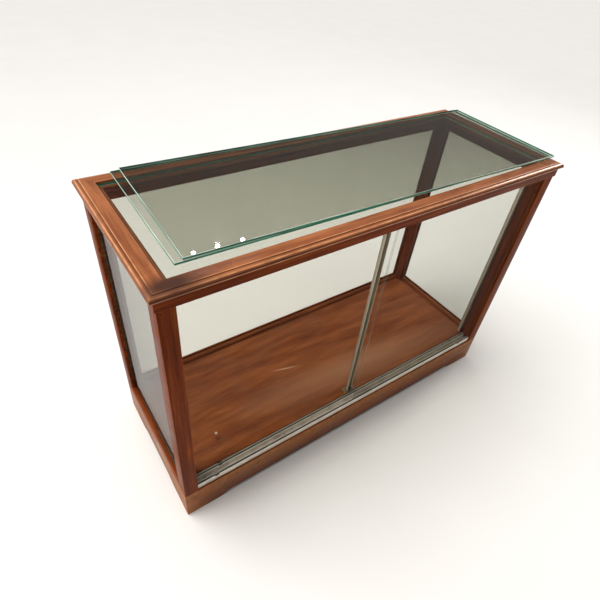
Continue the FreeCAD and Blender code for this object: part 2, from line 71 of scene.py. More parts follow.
# ---------------------------------------------------------------- sizes of the case, in millimetres
CASE_TOP = 828.0
TOP_REACH = (610.0, 231.0)
BODY_REACH = (598.0, 219.0)
HEADER_REACH = (601.0, 222.0)
PLINTH_TOP = 105.0
DECK_TOP = 125.0
HEADER_BOTTOM = 787.0
HEADER_TOP = 808.0
POST_INNER = (560.0, 175.0)
GLASS_INSET = 10.0
GLASS_THICK = 5.0
REBATE = 8.0
TRACK_FRONT = -214.0
TRACK_WIDTH = 30.8
CHANNELS = (-212.6, -190.6)
GUIDE_TOP = 804.0
STANDARD_FRONT = -175.0
STANDARD_TOP = 802.0
SLOT_COUNT = 25
SLOT_PITCH = 25.0
SLOT_HEIGHT = 14.0
SLOT_WIDTH = 3.0
SLOT_COLUMN = 4.0
STANDARD_DEPTH = 11.0
SHEET = 1.5
PLINTH_THICK = 22.0
SILL_DEPTH = 27.0
HEADER_DEPTH = 47.0
PANE_SEAT = 817.0
TOP_PANE = (1137.0, 379.0, 6.0)
DOOR_LENGTH = 571.0
DOOR_THICK = 4.5
DOOR_REACH = 559.0
SHELF_GAP = 0.2
FULL_WALL, SAWN_WALL = 18.5, 13.0
SIDES = ("front", "back", "left", "right")
CORNERS = {"front_left": (-1, -1), "front_right": (1, -1), "back_left": (-1, 1), "back_right": (1, 1)}


def srgb(red, green, blue):
    """A colour given from 0 to 255, as the linear colour that a shader takes."""
    def linear(value):
        value /= 255
        return value / 12.92 if value <= 0.04045 else ((value + 0.055) / 1.055) ** 2.4
    return (linear(red), linear(green), linear(blue), 1.0)


# ---------------------------------------------------------------- materials

def new_material(name):
    """An empty material, with its nodes and links."""
    material = bpy.data.materials.new(name)
    material.use_nodes = True
    material.node_tree.nodes.clear()
    return material, material.node_tree.nodes, material.node_tree.links


def wood_grain(nodes, links, grain, colours, figure_look, pore_look):
    """The streaky figure and the open pores of a board, and the relief of the pores."""
    across, figure_detail, figure_roughness, wander, darkest_at = figure_look
    pore_stretch, pore_detail, pore_roughness, deep, shallow, depth, relief_strength = pore_look
    stretch = nodes.new("ShaderNodeMapping")
    stretch.label = "streaks run along the board"
    stretch.inputs["Scale"].default_value = (4.5, across, across)
    figure = nodes.new("ShaderNodeTexNoise")
    figure.label = "wavy figure"
    figure.inputs["Scale"].default_value = 1.0
    figure.inputs["Detail"].default_value = figure_detail
    figure.inputs["Roughness"].default_value = figure_roughness
    figure.inputs["Distortion"].default_value = wander
    tones = nodes.new("ShaderNodeValToRGB")
    tones.label = "dark to light streaks"
    tones.color_ramp.elements[0].position = darkest_at
    tones.color_ramp.elements[0].color = colours[0]
    tones.color_ramp.elements[1].position = 0.78
    tones.color_ramp.elements[1].color = colours[2]
    between = tones.color_ramp.elements.new(0.5)
    between.color = colours[1]
    links.new(grain.outputs["Vector"], stretch.inputs["Vector"])
    links.new(stretch.outputs["Vector"], figure.inputs["Vector"])
    links.new(figure.outputs["Fac"], tones.inputs["Fac"])

    thin = nodes.new("ShaderNodeMapping")
    thin.label = "pores are long and thin"
    thin.inputs["Scale"].default_value = pore_stretch
    pores = nodes.new("ShaderNodeTexNoise")
    pores.label = "open pores"
    pores.inputs["Scale"].default_value = 1.0
    pores.inputs["Detail"].default_value = pore_detail
    pores.inputs["Roughness"].default_value = pore_roughness
    pore_depth = nodes.new("ShaderNodeMapRange")
    pore_depth.label = "only the deepest pores"
    pore_depth.inputs["From Min"].default_value = deep
    pore_depth.inputs["From Max"].default_value = shallow
    pore_depth.inputs["To Min"].default_value = depth
    pore_depth.inputs["To Max"].default_value = 1.0
    pored = nodes.new("ShaderNodeMix")
    pored.label = "pores darken the wood"
    pored.data_type = "RGBA"
    pored.blend_type = "MULTIPLY"
    pored.inputs["Factor"].default_value = 1.0
    relief = nodes.new("ShaderNodeBump")
    relief.label = "pores in the surface"
    relief.inputs["Strength"].default_value = relief_strength
    relief.inputs["Distance"].default_value = 0.0004
    links.new(grain.outputs["Vector"], thin.inputs["Vector"])
    links.new(thin.outputs["Vector"], pores.inputs["Vector"])
    links.new(pores.outputs["Fac"], pore_depth.inputs["Value"])
    links.new(tones.outputs["Color"], pored.inputs[6])
    links.new(pore_depth.outputs["Result"], pored.inputs[7])
    links.new(pores.outputs["Fac"], relief.inputs["Height"])
    effects = [("Figure", (stretch, figure, tones)), ("Pores", (thin, pores, pore_depth, pored, relief))]
    return pored, relief, effects


def varnished_mahogany(name, dark, middle, light, worn, gloss, body, coat, stain):
    """Old varnished mahogany: streaky figure, fine pores, worn arrises with painted highlights, painted shade in
    the quirks and patchy gloss.
    """
    material, nodes, links = new_material(name)
    grain = nodes.new("ShaderNodeAttribute")
    grain.label = "along, across and through the board"
    grain.attribute_name = "grain"
    wear = nodes.new("ShaderNodeAttribute")
    wear.label = "how rubbed each arris is"
    wear.attribute_name = "wear"
    place = nodes.new("ShaderNodeTexCoord")
    place.label = "place on the case"

    pored, relief, grain_effects = wood_grain(nodes, links, grain, (dark, middle, light),
                                              (95.0, 5.0, 0.6, 0.25, 0.24),
                                              ((26.0, 620.0, 620.0), 3.0, 0.5, 0.3, 0.48, 0.68, 0.18))

    cloud = nodes.new("ShaderNodeTexNoise")
    cloud.label = "patches of old polish"
    cloud.inputs["Scale"].default_value = 7.0
    cloud.inputs["Detail"].default_value = 4.0
    patchy = nodes.new("ShaderNodeMapRange")
    patchy.label = "how strong the patches are"
    patchy.inputs["From Min"].default_value = 0.3
    patchy.inputs["From Max"].default_value = 0.7
    patchy.inputs["To Min"].default_value = 0.8
    patchy.inputs["To Max"].default_value = 1.14
    polished = nodes.new("ShaderNodeMix")
    polished.label = "patches shade the colour"
    polished.data_type = "RGBA"
    polished.blend_type = "MULTIPLY"
    polished.inputs["Factor"].default_value = 1.0
    links.new(place.outputs["Object"], cloud.inputs["Vector"])
    links.new(cloud.outputs["Fac"], patchy.inputs["Value"])
    links.new(pored.outputs[2], polished.inputs[6])
    links.new(patchy.outputs["Result"], polished.inputs[7])

    # Worn arrises: the light worn colour goes where the point attribute is above zero; on the top frame's beads and
    # arris it is painted highlight as well as worn wood.
    nibble = nodes.new("ShaderNodeTexNoise")
    nibble.label = "wear comes and goes"
    nibble.inputs["Scale"].default_value = 55.0
    nibble.inputs["Detail"].default_value = 4.0
    rubbed_and_highlit = nodes.new("ShaderNodeMath")
    rubbed_and_highlit.label = "rubbed arrises"
    rubbed_and_highlit.operation = "MULTIPLY"
    bare = nodes.new("ShaderNodeMix")
    bare.label = "bare wood shows there"
    bare.data_type = "RGBA"
    bare.inputs[7].default_value = worn
    links.new(place.outputs["Object"], nibble.inputs["Vector"])
    links.new(wear.outputs["Fac"], rubbed_and_highlit.inputs[0])
    links.new(nibble.outputs["Fac"], rubbed_and_highlit.inputs[1])
    links.new(rubbed_and_highlit.outputs["Value"], bare.inputs["Factor"])
    links.new(polished.outputs[2], bare.inputs[6])

    # Painted shade: where the point attribute is below zero, in the moulding's quirks and coves, the colour is made
    # darker as painted shade.
    quirk_shade_amount = nodes.new("ShaderNodeMath")
    quirk_shade_amount.label = "how deep in a quirk"
    quirk_shade_amount.operation = "MULTIPLY"
    quirk_shade_amount.inputs[1].default_value = -0.85
    quirk_shade_amount.use_clamp = True
    painted_quirk_shade = nodes.new("ShaderNodeMix")
    painted_quirk_shade.label = "old polish gathers there"
    painted_quirk_shade.data_type = "RGBA"
    painted_quirk_shade.inputs[7].default_value = srgb(34, 14, 8)
    links.new(wear.outputs["Fac"], quirk_shade_amount.inputs[0])
    links.new(quirk_shade_amount.outputs["Value"], painted_quirk_shade.inputs["Factor"])
    links.new(bare.outputs[2], painted_quirk_shade.inputs[6])

    spot = nodes.new("ShaderNodeMapping")
    spot.label = "round the front left mitre"
    spot.vector_type = "TEXTURE"
    spot.inputs["Location"].default_value = (-0.552, -0.206, 0.826)
    spot.inputs["Scale"].default_value = (0.1, 0.04, 0.05)
    blot = nodes.new("ShaderNodeTexGradient")
    blot.label = "a soft round blot"
    blot.gradient_type = "SPHERICAL"
    ragged = nodes.new("ShaderNodeMath")
    ragged.label = "with ragged edges"
    ragged.operation = "MULTIPLY"
    strength = nodes.new("ShaderNodeMath")
    strength.label = "how dark the old stain is"
    strength.operation = "MULTIPLY"
    strength.inputs[1].default_value = stain
    strength.use_clamp = True
    stained = nodes.new("ShaderNodeMix")
    stained.label = "stained wood"
    stained.data_type = "RGBA"
    stained.inputs[7].default_value = srgb(62, 34, 24)
    links.new(place.outputs["Object"], spot.inputs["Vector"])
    links.new(spot.outputs["Vector"], blot.inputs["Vector"])
    links.new(blot.outputs["Fac"], ragged.inputs[0])
    links.new(cloud.outputs["Fac"], ragged.inputs[1])
    links.new(ragged.outputs["Value"], strength.inputs[0])
    links.new(strength.outputs["Value"], stained.inputs["Factor"])
    links.new(painted_quirk_shade.outputs[2], stained.inputs[6])

    sheen = nodes.new("ShaderNodeMapRange")
    sheen.label = "worn polish is duller"
    sheen.inputs["From Min"].default_value = 0.35
    sheen.inputs["From Max"].default_value = 0.65
    sheen.inputs["To Min"].default_value = gloss
    sheen.inputs["To Max"].default_value = gloss + 0.16
    links.new(cloud.outputs["Fac"], sheen.inputs["Value"])

    surface = nodes.new("ShaderNodeBsdfPrincipled")
    surface.label = "varnished wood"
    surface.inputs["IOR"].default_value = body
    surface.inputs["Specular Tint"].default_value = (1.0, 0.62, 0.42, 1.0)
    surface.inputs["Coat Weight"].default_value = coat
    surface.inputs["Coat Roughness"].default_value = 0.14
    out = nodes.new("ShaderNodeOutputMaterial")
    out.label = "finished surface"
    links.new(stained.outputs[2], surface.inputs["Base Color"])
    links.new(sheen.outputs["Result"], surface.inputs["Roughness"])
    links.new(relief.outputs["Normal"], surface.inputs["Normal"])
    links.new(surface.outputs["BSDF"], out.inputs["Surface"])

    effects = (("What is read", (grain, wear, place)),
               ("Old polish", (cloud, patchy, polished, sheen)),
               ("Rubbed arrises", (nibble, rubbed_and_highlit, bare)),
               ("Dark quirks", (quirk_shade_amount, painted_quirk_shade)),
               ("Stain", (spot, blot, ragged, strength, stained)),
               ("Surface", (surface, out)))
    for row, (effect, members) in enumerate((*grain_effects, *effects)):
        group = nodes.new("NodeFrame")
        group.label = effect
        for column, member in enumerate(members):
            member.location = (240 * column, -340 * row)
            member.parent = group
    return material


def deck_mahogany():
    """The deck's dry, dusty mahogany, with a knot, a scratch, a speck and a lighter stretch of painted sunlight."""
    material, nodes, links = new_material("deck mahogany")
    grain = nodes.new("ShaderNodeAttribute")
    grain.label = "along, across and through the board"
    grain.attribute_name = "grain"
    place = nodes.new("ShaderNodeTexCoord")
    place.label = "place on the case"

    browns = (srgb(100, 44, 20), srgb(142, 74, 36), srgb(176, 100, 54))
    pored, relief, effects = wood_grain(nodes, links, grain, browns, (34.0, 7.0, 0.62, 0.3, 0.25),
                                        ((14.0, 190.0, 190.0), 6.0, 0.7, 0.34, 0.56, 0.6, 0.1))

    # The last mark is painted light: a lighter stretch laid where sunlight fell across the deck.
    marks = (("Knot", (-0.448, -0.114, 0.125), 0.0, (0.014, 0.009, 0.02), 1.0, srgb(62, 32, 22)),
             ("Speck of plaster", (-0.445, -0.096, 0.125), 0.0, (0.005, 0.005, 0.02), 1.0, srgb(244, 236, 222)),
             ("Pale scratch", (-0.136, 0.008, 0.125), -0.245, (0.052, 0.0034, 0.02), 1.0, srgb(226, 184, 150)),
             ("Painted_sunlight stretch", (0.1, -0.1, 0.125), -0.06, (0.52, 0.075, 0.05), 0.75, srgb(186, 132, 100)))
    colour = pored.outputs[2]
    for mark, where, turn, reach, strength, tone in marks:
        spot = nodes.new("ShaderNodeMapping")
        spot.label = "where it lies"
        spot.vector_type = "TEXTURE"
        spot.inputs["Location"].default_value = where
        spot.inputs["Rotation"].default_value = (0.0, 0.0, turn)
        spot.inputs["Scale"].default_value = reach
        blot = nodes.new("ShaderNodeTexGradient")
        blot.label = "strong in the middle, soft at the rim"
        blot.gradient_type = "SPHERICAL"
        amount = nodes.new("ShaderNodeMath")
        amount.label = "how strong it is"
        amount.operation = "MULTIPLY"
        amount.inputs[1].default_value = strength
        marked = nodes.new("ShaderNodeMix")
        marked.label = f"{mark.lower()} on the deck"
        marked.data_type = "RGBA"
        marked.inputs[7].default_value = tone
        links.new(place.outputs["Object"], spot.inputs["Vector"])
        links.new(spot.outputs["Vector"], blot.inputs["Vector"])
        links.new(blot.outputs["Fac"], amount.inputs[0])
        links.new(amount.outputs["Value"], marked.inputs["Factor"])
        links.new(colour, marked.inputs[6])
        colour = marked.outputs[2]
        effects.append((mark, (spot, blot, amount, marked)))

    dust = nodes.new("ShaderNodeTexNoise")
    dust.label = "dust and handling"
    dust.inputs["Scale"].default_value = 9.0
    dust.inputs["Detail"].default_value = 6.0
    dust_amount = nodes.new("ShaderNodeMapRange")
    dust_amount.label = "how much dust lies"
    dust_amount.inputs["From Min"].default_value = 0.4
    dust_amount.inputs["From Max"].default_value = 0.75
    dust_amount.inputs["To Max"].default_value = 0.1
    dusty = nodes.new("ShaderNodeMix")
    dusty.label = "dust on the deck"
    dusty.data_type = "RGBA"
    dusty.inputs[7].default_value = srgb(160, 128, 104)
    dull = nodes.new("ShaderNodeMapRange")
    dull.label = "dust is duller"
    dull.inputs["To Min"].default_value = 0.42
    dull.inputs["To Max"].default_value = 0.66
    links.new(place.outputs["Object"], dust.inputs["Vector"])
    links.new(dust.outputs["Fac"], dust_amount.inputs["Value"])
    links.new(dust_amount.outputs["Result"], dusty.inputs["Factor"])
    links.new(colour, dusty.inputs[6])
    links.new(dust.outputs["Fac"], dull.inputs["Value"])

    surface = nodes.new("ShaderNodeBsdfPrincipled")
    surface.label = "dry polished deck"
    surface.inputs["IOR"].default_value = 1.28
    surface.inputs["Specular Tint"].default_value = (1.0, 0.66, 0.48, 1.0)
    surface.inputs["Coat Weight"].default_value = 0.03
    surface.inputs["Coat Roughness"].default_value = 0.3
    out = nodes.new("ShaderNodeOutputMaterial")
    out.label = "finished surface"
    links.new(dusty.outputs[2], surface.inputs["Base Color"])
    links.new(dull.outputs["Result"], surface.inputs["Roughness"])
    links.new(relief.outputs["Normal"], surface.inputs["Normal"])
    links.new(surface.outputs["BSDF"], out.inputs["Surface"])

    effects += [("Dust", (dust, dust_amount, dusty, dull)), ("What is read", (grain, place)),
                ("Surface", (surface, out))]
    for row, (effect, members) in enumerate(effects):
        group = nodes.new("NodeFrame")
        group.label = effect
        for column, member in enumerate(members):
            member.location = (240 * column, -340 * row)
            member.parent = group
    return material


def pane_face(name, tint, shine):
    """The clear face of a pane: see-through, mirror-like at a slant, dulled a little by old smears."""
    material, nodes, links = new_material(name)
    place = nodes.new("ShaderNodeTexCoord")
    place.label = "place on the case"
    smear = nodes.new("ShaderNodeTexNoise")
    smear.label = "old wiping smears"
    smear.inputs["Scale"].default_value = 6.0
    smear.inputs["Detail"].default_value = 6.0
    smear.inputs["Distortion"].default_value = 1.5
    dulled = nodes.new("ShaderNodeMapRange")
    dulled.label = "smears dull the mirror"
    dulled.inputs["From Min"].default_value = 0.45
    dulled.inputs["From Max"].default_value = 0.8
    dulled.inputs["To Min"].default_value = 0.012
    dulled.inputs["To Max"].default_value = 0.09
    clear = nodes.new("ShaderNodeBsdfTransparent")
    clear.label = "clear glass"
    clear.inputs["Color"].default_value = tint
    mirror = nodes.new("ShaderNodeBsdfGlossy")
    mirror.label = "polished surface"
    mirror.inputs["Color"].default_value = (shine, shine, shine, 1.0)
    slant = nodes.new("ShaderNodeLayerWeight")
    slant.label = "how far the glass faces away"
    slant.inputs["Blend"].default_value = 0.5
    steep = nodes.new("ShaderNodeMath")
    steep.label = "mirrors much more at a slant"
    steep.operation = "POWER"
    steep.inputs[1].default_value = 5.0
    mirrored = nodes.new("ShaderNodeMath")
    mirrored.label = "and a little head on"
    mirrored.operation = "MULTIPLY_ADD"
    mirrored.inputs[1].default_value = 0.957
    mirrored.inputs[2].default_value = 0.043
    glass = nodes.new("ShaderNodeMixShader")
    glass.label = "glass"
    out = nodes.new("ShaderNodeOutputMaterial")
    out.label = "finished surface"
    links.new(place.outputs["Object"], smear.inputs["Vector"])
    links.new(smear.outputs["Fac"], dulled.inputs["Value"])
    links.new(dulled.outputs["Result"], mirror.inputs["Roughness"])
    links.new(slant.outputs["Facing"], steep.inputs[0])
    links.new(steep.outputs["Value"], mirrored.inputs[0])
    links.new(mirrored.outputs["Value"], glass.inputs["Fac"])
    links.new(clear.outputs["BSDF"], glass.inputs[1])
    links.new(mirror.outputs["BSDF"], glass.inputs[2])
    links.new(glass.outputs["Shader"], out.inputs["Surface"])
    effects = (("Smears", (place, smear, dulled)),
               ("Polished glass", (clear, mirror, slant, steep, mirrored, glass)),
               ("Surface", (out,)))
    for row, (effect, members) in enumerate(effects):
        group = nodes.new("NodeFrame")
        group.label = effect
        for column, member in enumerate(members):
            member.location = (240 * column, -340 * row)
            member.parent = group
    return material


def drawn_metal(name, dark, light, bright, roughness, shine, along):
    """Drawn or rolled metal, with lengthwise lines and grime. along is the stretch on each axis."""
    material, nodes, links = new_material(name)
    place = nodes.new("ShaderNodeTexCoord")
    place.label = "place on the case"
    stretch = nodes.new("ShaderNodeMapping")
    stretch.label = "lines run lengthwise"
    stretch.inputs["Scale"].default_value = along
    lines = nodes.new("ShaderNodeTexNoise")
    lines.label = "drawing lines"
    lines.inputs["Scale"].default_value = 1.0
    lines.inputs["Detail"].default_value = 3.0
    grime = nodes.new("ShaderNodeTexNoise")
    grime.label = "grime and tarnish"
    grime.inputs["Scale"].default_value = 26.0
    grime.inputs["Detail"].default_value = 6.0
    both = nodes.new("ShaderNodeMath")
    both.label = "lines and grime together"
    both.operation = "MULTIPLY"
    tones = nodes.new("ShaderNodeValToRGB")
    tones.label = "tarnished to bright"
    tones.color_ramp.elements[0].position = 0.08
    tones.color_ramp.elements[0].color = dark
    tones.color_ramp.elements[1].position = 0.3
    tones.color_ramp.elements[1].color = light
    # Painted highlight: the bright colour goes where the point attribute is high, along the standards' flange edges
    # and the track's wall crests.
    wear = nodes.new("ShaderNodeAttribute")
    wear.label = "how rubbed each edge is"
    wear.attribute_name = "wear"
    rubbed_and_highlit = nodes.new("ShaderNodeMix")
    rubbed_and_highlit.label = "bright where rubbed"
    rubbed_and_highlit.data_type = "RGBA"
    rubbed_and_highlit.inputs[7].default_value = bright
    links.new(wear.outputs["Fac"], rubbed_and_highlit.inputs["Factor"])
    links.new(tones.outputs["Color"], rubbed_and_highlit.inputs[6])
    dull = nodes.new("ShaderNodeMapRange")
    dull.label = "tarnish is duller"
    dull.inputs["To Min"].default_value = roughness + 0.2
    dull.inputs["To Max"].default_value = roughness
    relief = nodes.new("ShaderNodeBump")
    relief.label = "fine lines"
    relief.inputs["Strength"].default_value = 0.12
    relief.inputs["Distance"].default_value = 0.0002
    surface = nodes.new("ShaderNodeBsdfPrincipled")
    surface.label = "bare metal"
    surface.inputs["Metallic"].default_value = shine
    out = nodes.new("ShaderNodeOutputMaterial")
    out.label = "finished surface"
    links.new(place.outputs["Object"], stretch.inputs["Vector"])
    links.new(place.outputs["Object"], grime.inputs["Vector"])
    links.new(stretch.outputs["Vector"], lines.inputs["Vector"])
    links.new(lines.outputs["Fac"], both.inputs[0])
    links.new(grime.outputs["Fac"], both.inputs[1])
    links.new(both.outputs["Value"], tones.inputs["Fac"])
    links.new(rubbed_and_highlit.outputs[2], surface.inputs["Base Color"])
    links.new(grime.outputs["Fac"], dull.inputs["Value"])
    links.new(dull.outputs["Result"], surface.inputs["Roughness"])
    links.new(lines.outputs["Fac"], relief.inputs["Height"])
    links.new(relief.outputs["Normal"], surface.inputs["Normal"])
    links.new(surface.outputs["BSDF"], out.inputs["Surface"])
    effects = (("What is read", (place,)),
               ("Drawing lines", (stretch, lines, relief)),
               ("Grime", (grime, both, tones, dull)),
               ("Rubbed edges", (wear, rubbed_and_highlit)),
               ("Surface", (surface, out)))
    for row, (effect, members) in enumerate(effects):
        group = nodes.new("NodeFrame")
        group.label = effect
        for column, member in enumerate(members):
            member.location = (240 * column, -340 * row)
            member.parent = group
    return material


def two_toned(name, stretch, detail, dark, light, spread, roughness, gloss=0.0, cover=1.0, relief_height=0.0):
    """A plain surface in two tones, mottled or streaked: edge of glass, bare wood, fibre, filler or floor."""
    material, nodes, links = new_material(name)
    place = nodes.new("ShaderNodeTexCoord")
    place.label = "place on the case"
    stretched = nodes.new("ShaderNodeMapping")
    stretched.label = "how long and thin the streaks are"
    stretched.inputs["Scale"].default_value = stretch
    mottle = nodes.new("ShaderNodeTexNoise")
    mottle.label = "streaks or speckle"
    mottle.inputs["Scale"].default_value = 1.0
    mottle.inputs["Detail"].default_value = detail
    tones = nodes.new("ShaderNodeValToRGB")
    tones.label = "dark to light"
    tones.color_ramp.elements[0].position = spread[0]
    tones.color_ramp.elements[0].color = dark
    tones.color_ramp.elements[1].position = spread[1]
    tones.color_ramp.elements[1].color = light
    surface = nodes.new("ShaderNodeBsdfPrincipled")
    surface.label = "plain surface"
    surface.inputs["Roughness"].default_value = roughness
    surface.inputs["Alpha"].default_value = cover
    out = nodes.new("ShaderNodeOutputMaterial")
    out.label = "finished surface"
    links.new(place.outputs["Object"], stretched.inputs["Vector"])
    links.new(stretched.outputs["Vector"], mottle.inputs["Vector"])
    links.new(mottle.outputs["Fac"], tones.inputs["Fac"])
    links.new(tones.outputs["Color"], surface.inputs["Base Color"])
    links.new(surface.outputs["BSDF"], out.inputs["Surface"])
    effects = [("Two tones", (place, stretched, mottle, tones)), ("Surface", (surface, out))]
    if gloss:
        surface.inputs["IOR"].default_value = 1.52
        surface.inputs["Coat Weight"].default_value = gloss
    if relief_height:
        relief = nodes.new("ShaderNodeBump")
        relief.label = "saw marks"
        relief.inputs["Strength"].default_value = 0.4
        relief.inputs["Distance"].default_value = relief_height
        links.new(mottle.outputs["Fac"], relief.inputs["Height"])
        links.new(relief.outputs["Normal"], surface.inputs["Normal"])
        effects.append(("Saw marks", (relief,)))
    for row, (effect, members) in enumerate(effects):
        group = nodes.new("NodeFrame")
        group.label = effect
        for column, member in enumerate(members):
            member.location = (240 * column, -340 * row)
            member.parent = group
    return material


RAIL_WOOD = varnished_mahogany("top frame mahogany", srgb(98, 48, 22), srgb(142, 80, 44), srgb(176, 110, 66),
                               srgb(222, 160, 114), 0.24, 1.3, 0.5, 2.2)
# Painted shade: the body and plinth copies of the mahogany are made darker and redder than the top frame's,
# standing in for the shade on the case's sides.
BODY_WOOD = varnished_mahogany("body mahogany", srgb(76, 25, 4), srgb(110, 44, 8), srgb(146, 70, 18),
                               srgb(176, 98, 42), 0.34, 1.14, 0.02, 0.0)
PLINTH_WOOD = varnished_mahogany("plinth mahogany", srgb(74, 29, 9), srgb(112, 56, 22), srgb(152, 86, 40),
                                 srgb(186, 122, 70), 0.34, 1.18, 0.02, 0.0)
BEAD_WOOD = varnished_mahogany("bead mahogany", srgb(100, 44, 20), srgb(132, 68, 34), srgb(160, 92, 50),
                               srgb(176, 112, 70), 0.36, 1.18, 0.02, 0.0)
DECK_WOOD = deck_mahogany()
SOFTWOOD = two_toned("sawn softwood", (4.0, 60.0, 60.0), 4.0, srgb(146, 108, 70), srgb(196, 158, 112), (0.35, 0.65),
                     0.82, relief_height=0.0006)
PANE = pane_face("pane", (0.905, 0.908, 0.88, 1.0), 0.42)
DOOR_PANE = pane_face("door pane", (0.972, 0.974, 0.962, 1.0), 0.06)
EDGE_STREAKS = (9.0, 9.0, 420.0)
EDGE_SPREAD = (0.38, 0.68)
PANE_EDGE = two_toned("pane edge", EDGE_STREAKS, 3.0, srgb(10, 96, 76), srgb(92, 212, 178), EDGE_SPREAD,
                      0.22, 0.5)
DOOR_EDGE = two_toned("polished door edge", EDGE_STREAKS, 3.0, srgb(84, 92, 80), srgb(150, 164, 146), EDGE_SPREAD,
                      0.22, 0.5, cover=0.3)
ARRIS = two_toned("ground arris", EDGE_STREAKS, 3.0, srgb(150, 172, 158), srgb(232, 240, 232), EDGE_SPREAD,
                  0.22, 0.5)
ALUMINIUM = drawn_metal("track aluminium", srgb(176, 160, 142), srgb(240, 232, 220), srgb(252, 246, 236), 0.3,
                        0.25, (5.0, 700.0, 700.0))
# The standards' steel: its dark tones are painted shade, and its bright colour is painted highlight along the
# flange edges.
STEEL = drawn_metal("plated steel", srgb(70, 60, 46), srgb(128, 115, 94), srgb(226, 216, 196), 0.36,
                    0.4, (600.0, 600.0, 5.0))
SCREW_STEEL = drawn_metal("screw steel", srgb(96, 86, 70), srgb(190, 180, 160), srgb(220, 212, 196), 0.35,
                          0.7, (300.0, 300.0, 300.0))
FINE = (900.0, 900.0, 900.0)
MATT_SPREAD = (0.35, 0.65)
FIBRE = two_toned("channel fibre", FINE, 4.0, srgb(44, 36, 30), srgb(78, 66, 54), MATT_SPREAD, 0.8)
FILLER = two_toned("nail filler", FINE, 4.0, srgb(170, 120, 86), srgb(206, 158, 120), MATT_SPREAD, 0.7)
FLOOR = two_toned("pale floor", (3.0, 3.0, 3.0), 4.0, srgb(225, 224, 222), srgb(227, 226, 224), MATT_SPREAD, 0.9)


# ---------------------------------------------------------------- shaping helpers

def rounded(points, steps=2):
    """A closed outline with its corners rounded. A point is (u, v, radius); a radius of 0 stays as it is.

    The result's points are (u, v, wear), where the middle of a rounded corner is worn.
    """
    outline = []
    for index, (u, v, radius) in enumerate(points):
        if radius == 0:
            outline.append((u, v, 0.0))
            continue
        corner = Vector((u, v))
        before = Vector(points[index - 1][:2]) - corner
        after = Vector(points[(index + 1) % len(points)][:2]) - corner
        start = corner + before.normalized() * min(radius, before.length * 0.45)
        end = corner + after.normalized() * min(radius, after.length * 0.45)
        for step in range(steps + 1):
            t = step / steps
            point = start * (1 - t) ** 2 + corner * 2 * t * (1 - t) + end * t ** 2
            outline.append((point.x, point.y, 4 * t * (1 - t)))
    return outline


def arc_points(start, middle, end, steps):
    """Points after start along a smooth curve through middle to end, each with no rounding."""
    start, middle, end = Vector(start), Vector(middle), Vector(end)
    pull = middle * 2 - (start + end) / 2
    points = []
    for step in range(1, steps + 1):
        t = step / steps
        point = start * (1 - t) ** 2 + pull * 2 * t * (1 - t) + end * t ** 2
        points.append((point.x, point.y, 0))
    return points


def shrunk(outline, amount):
    """The outline drawn in by amount towards its inside."""
    count = len(outline)
    area = sum(outline[i][0] * outline[(i + 1) % count][1] - outline[(i + 1) % count][0] * outline[i][1]
               for i in range(count))
    turn = 1 if area > 0 else -1
    result = []
    for index, (u, v, wear) in enumerate(outline):
        before = Vector((u, v)) - Vector(outline[index - 1][:2])
        after = Vector(outline[(index + 1) % count][:2]) - Vector((u, v))
        along = (before.normalized() + after.normalized()).normalized()
        result.append((u - along.y * amount * turn, v + along.x * amount * turn, wear))
    return result


def on_side(side, reach, along, inward, height):
    """The point this far along a side of the case, inward from its outer face, and up."""
    if side == "front":
        return (along, -reach[1] + inward, height)
    if side == "back":
        return (-along, reach[1] - inward, height)
    if side == "left":
        return (-reach[0] + inward, -along, height)
    return (reach[0] - inward, along, height)


def new_skin():
    """An empty mesh under construction, with a place to keep each point's value for worn arrises, painted highlight
    and painted shade.
    """
    skin = bmesh.new()
    skin.verts.layers.float.new("wear")
    return skin


def loft(skin, loops, wall_finishes=None, cap_finish=0):
    """Add a closed shell through a row of loops. A loop is a list of ((x, y, z), wear)."""
    layer = skin.verts.layers.float["wear"]
    rings = []
    for loop in loops:
        ring = []
        for place, wear in loop:
            vert = skin.verts.new(Vector(place) * MM)
            vert[layer] = wear
            ring.append(vert)
        rings.append(ring)
    made = []
    for step, (lower, upper) in enumerate(zip(rings, rings[1:])):
        for index in range(len(lower)):
            after = (index + 1) % len(lower)
            face = skin.faces.new((lower[index], lower[after], upper[after], upper[index]))
            face.material_index = wall_finishes[step] if wall_finishes else 0
            made.append(face)
    for ring in (rings[0], rings[-1]):
        cap = skin.faces.new(ring)
        cap.material_index = cap_finish
        made.append(cap)
    bmesh.ops.recalc_face_normals(skin, faces=made)


def place_piece(name, skin, finishes, nodes, body="case", grain="X"):
    """Turn a finished skin into a piece that stands for CAD nodes and rides on a body."""
    order = {"X": (0, 1, 2), "Y": (1, 0, 2), "Z": (2, 0, 1)}[grain]
    cut = random.Random(name)
    offset = Vector((cut.uniform(0, 40), cut.uniform(0, 40), cut.uniform(0, 40)))
    layer = skin.verts.layers.float_vector.new("grain")
    for vert in skin.verts:
        vert[layer] = Vector(vert.co[axis] for axis in order) + offset
    crease = math.radians(32)
    for edge in skin.edges:
        edge.smooth = len(edge.link_faces) == 2 and edge.calc_face_angle(0.0) < crease
    for face in skin.faces:
        face.smooth = True
    mesh = bpy.data.meshes.new(name)
    skin.to_mesh(mesh)
    skin.free()
    for finish in finishes:
        mesh.materials.append(finish)
    piece = bpy.data.objects.new(name, mesh)
    bpy.context.scene.collection.objects.link(piece)
    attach(piece, body)
    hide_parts(*nodes)
    return piece


def strip_loops(side, reach, section, start, end, mitre=False, ease=0.35):
    """Loops of a strip along one side of the case, with its ends eased."""
    eased = shrunk(section, ease)
    loops = []
    for sign, along, outline in ((-1, start, eased), (-1, start + ease, section),
                                 (1, end - ease, section), (1, end, eased)):
        loop = []
        for u, v, wear in outline:
            cut_back = u if mitre else 0.0
            loop.append((on_side(side, reach, along - sign * cut_back, u, v), wear))
        loops.append(loop)
    return loops


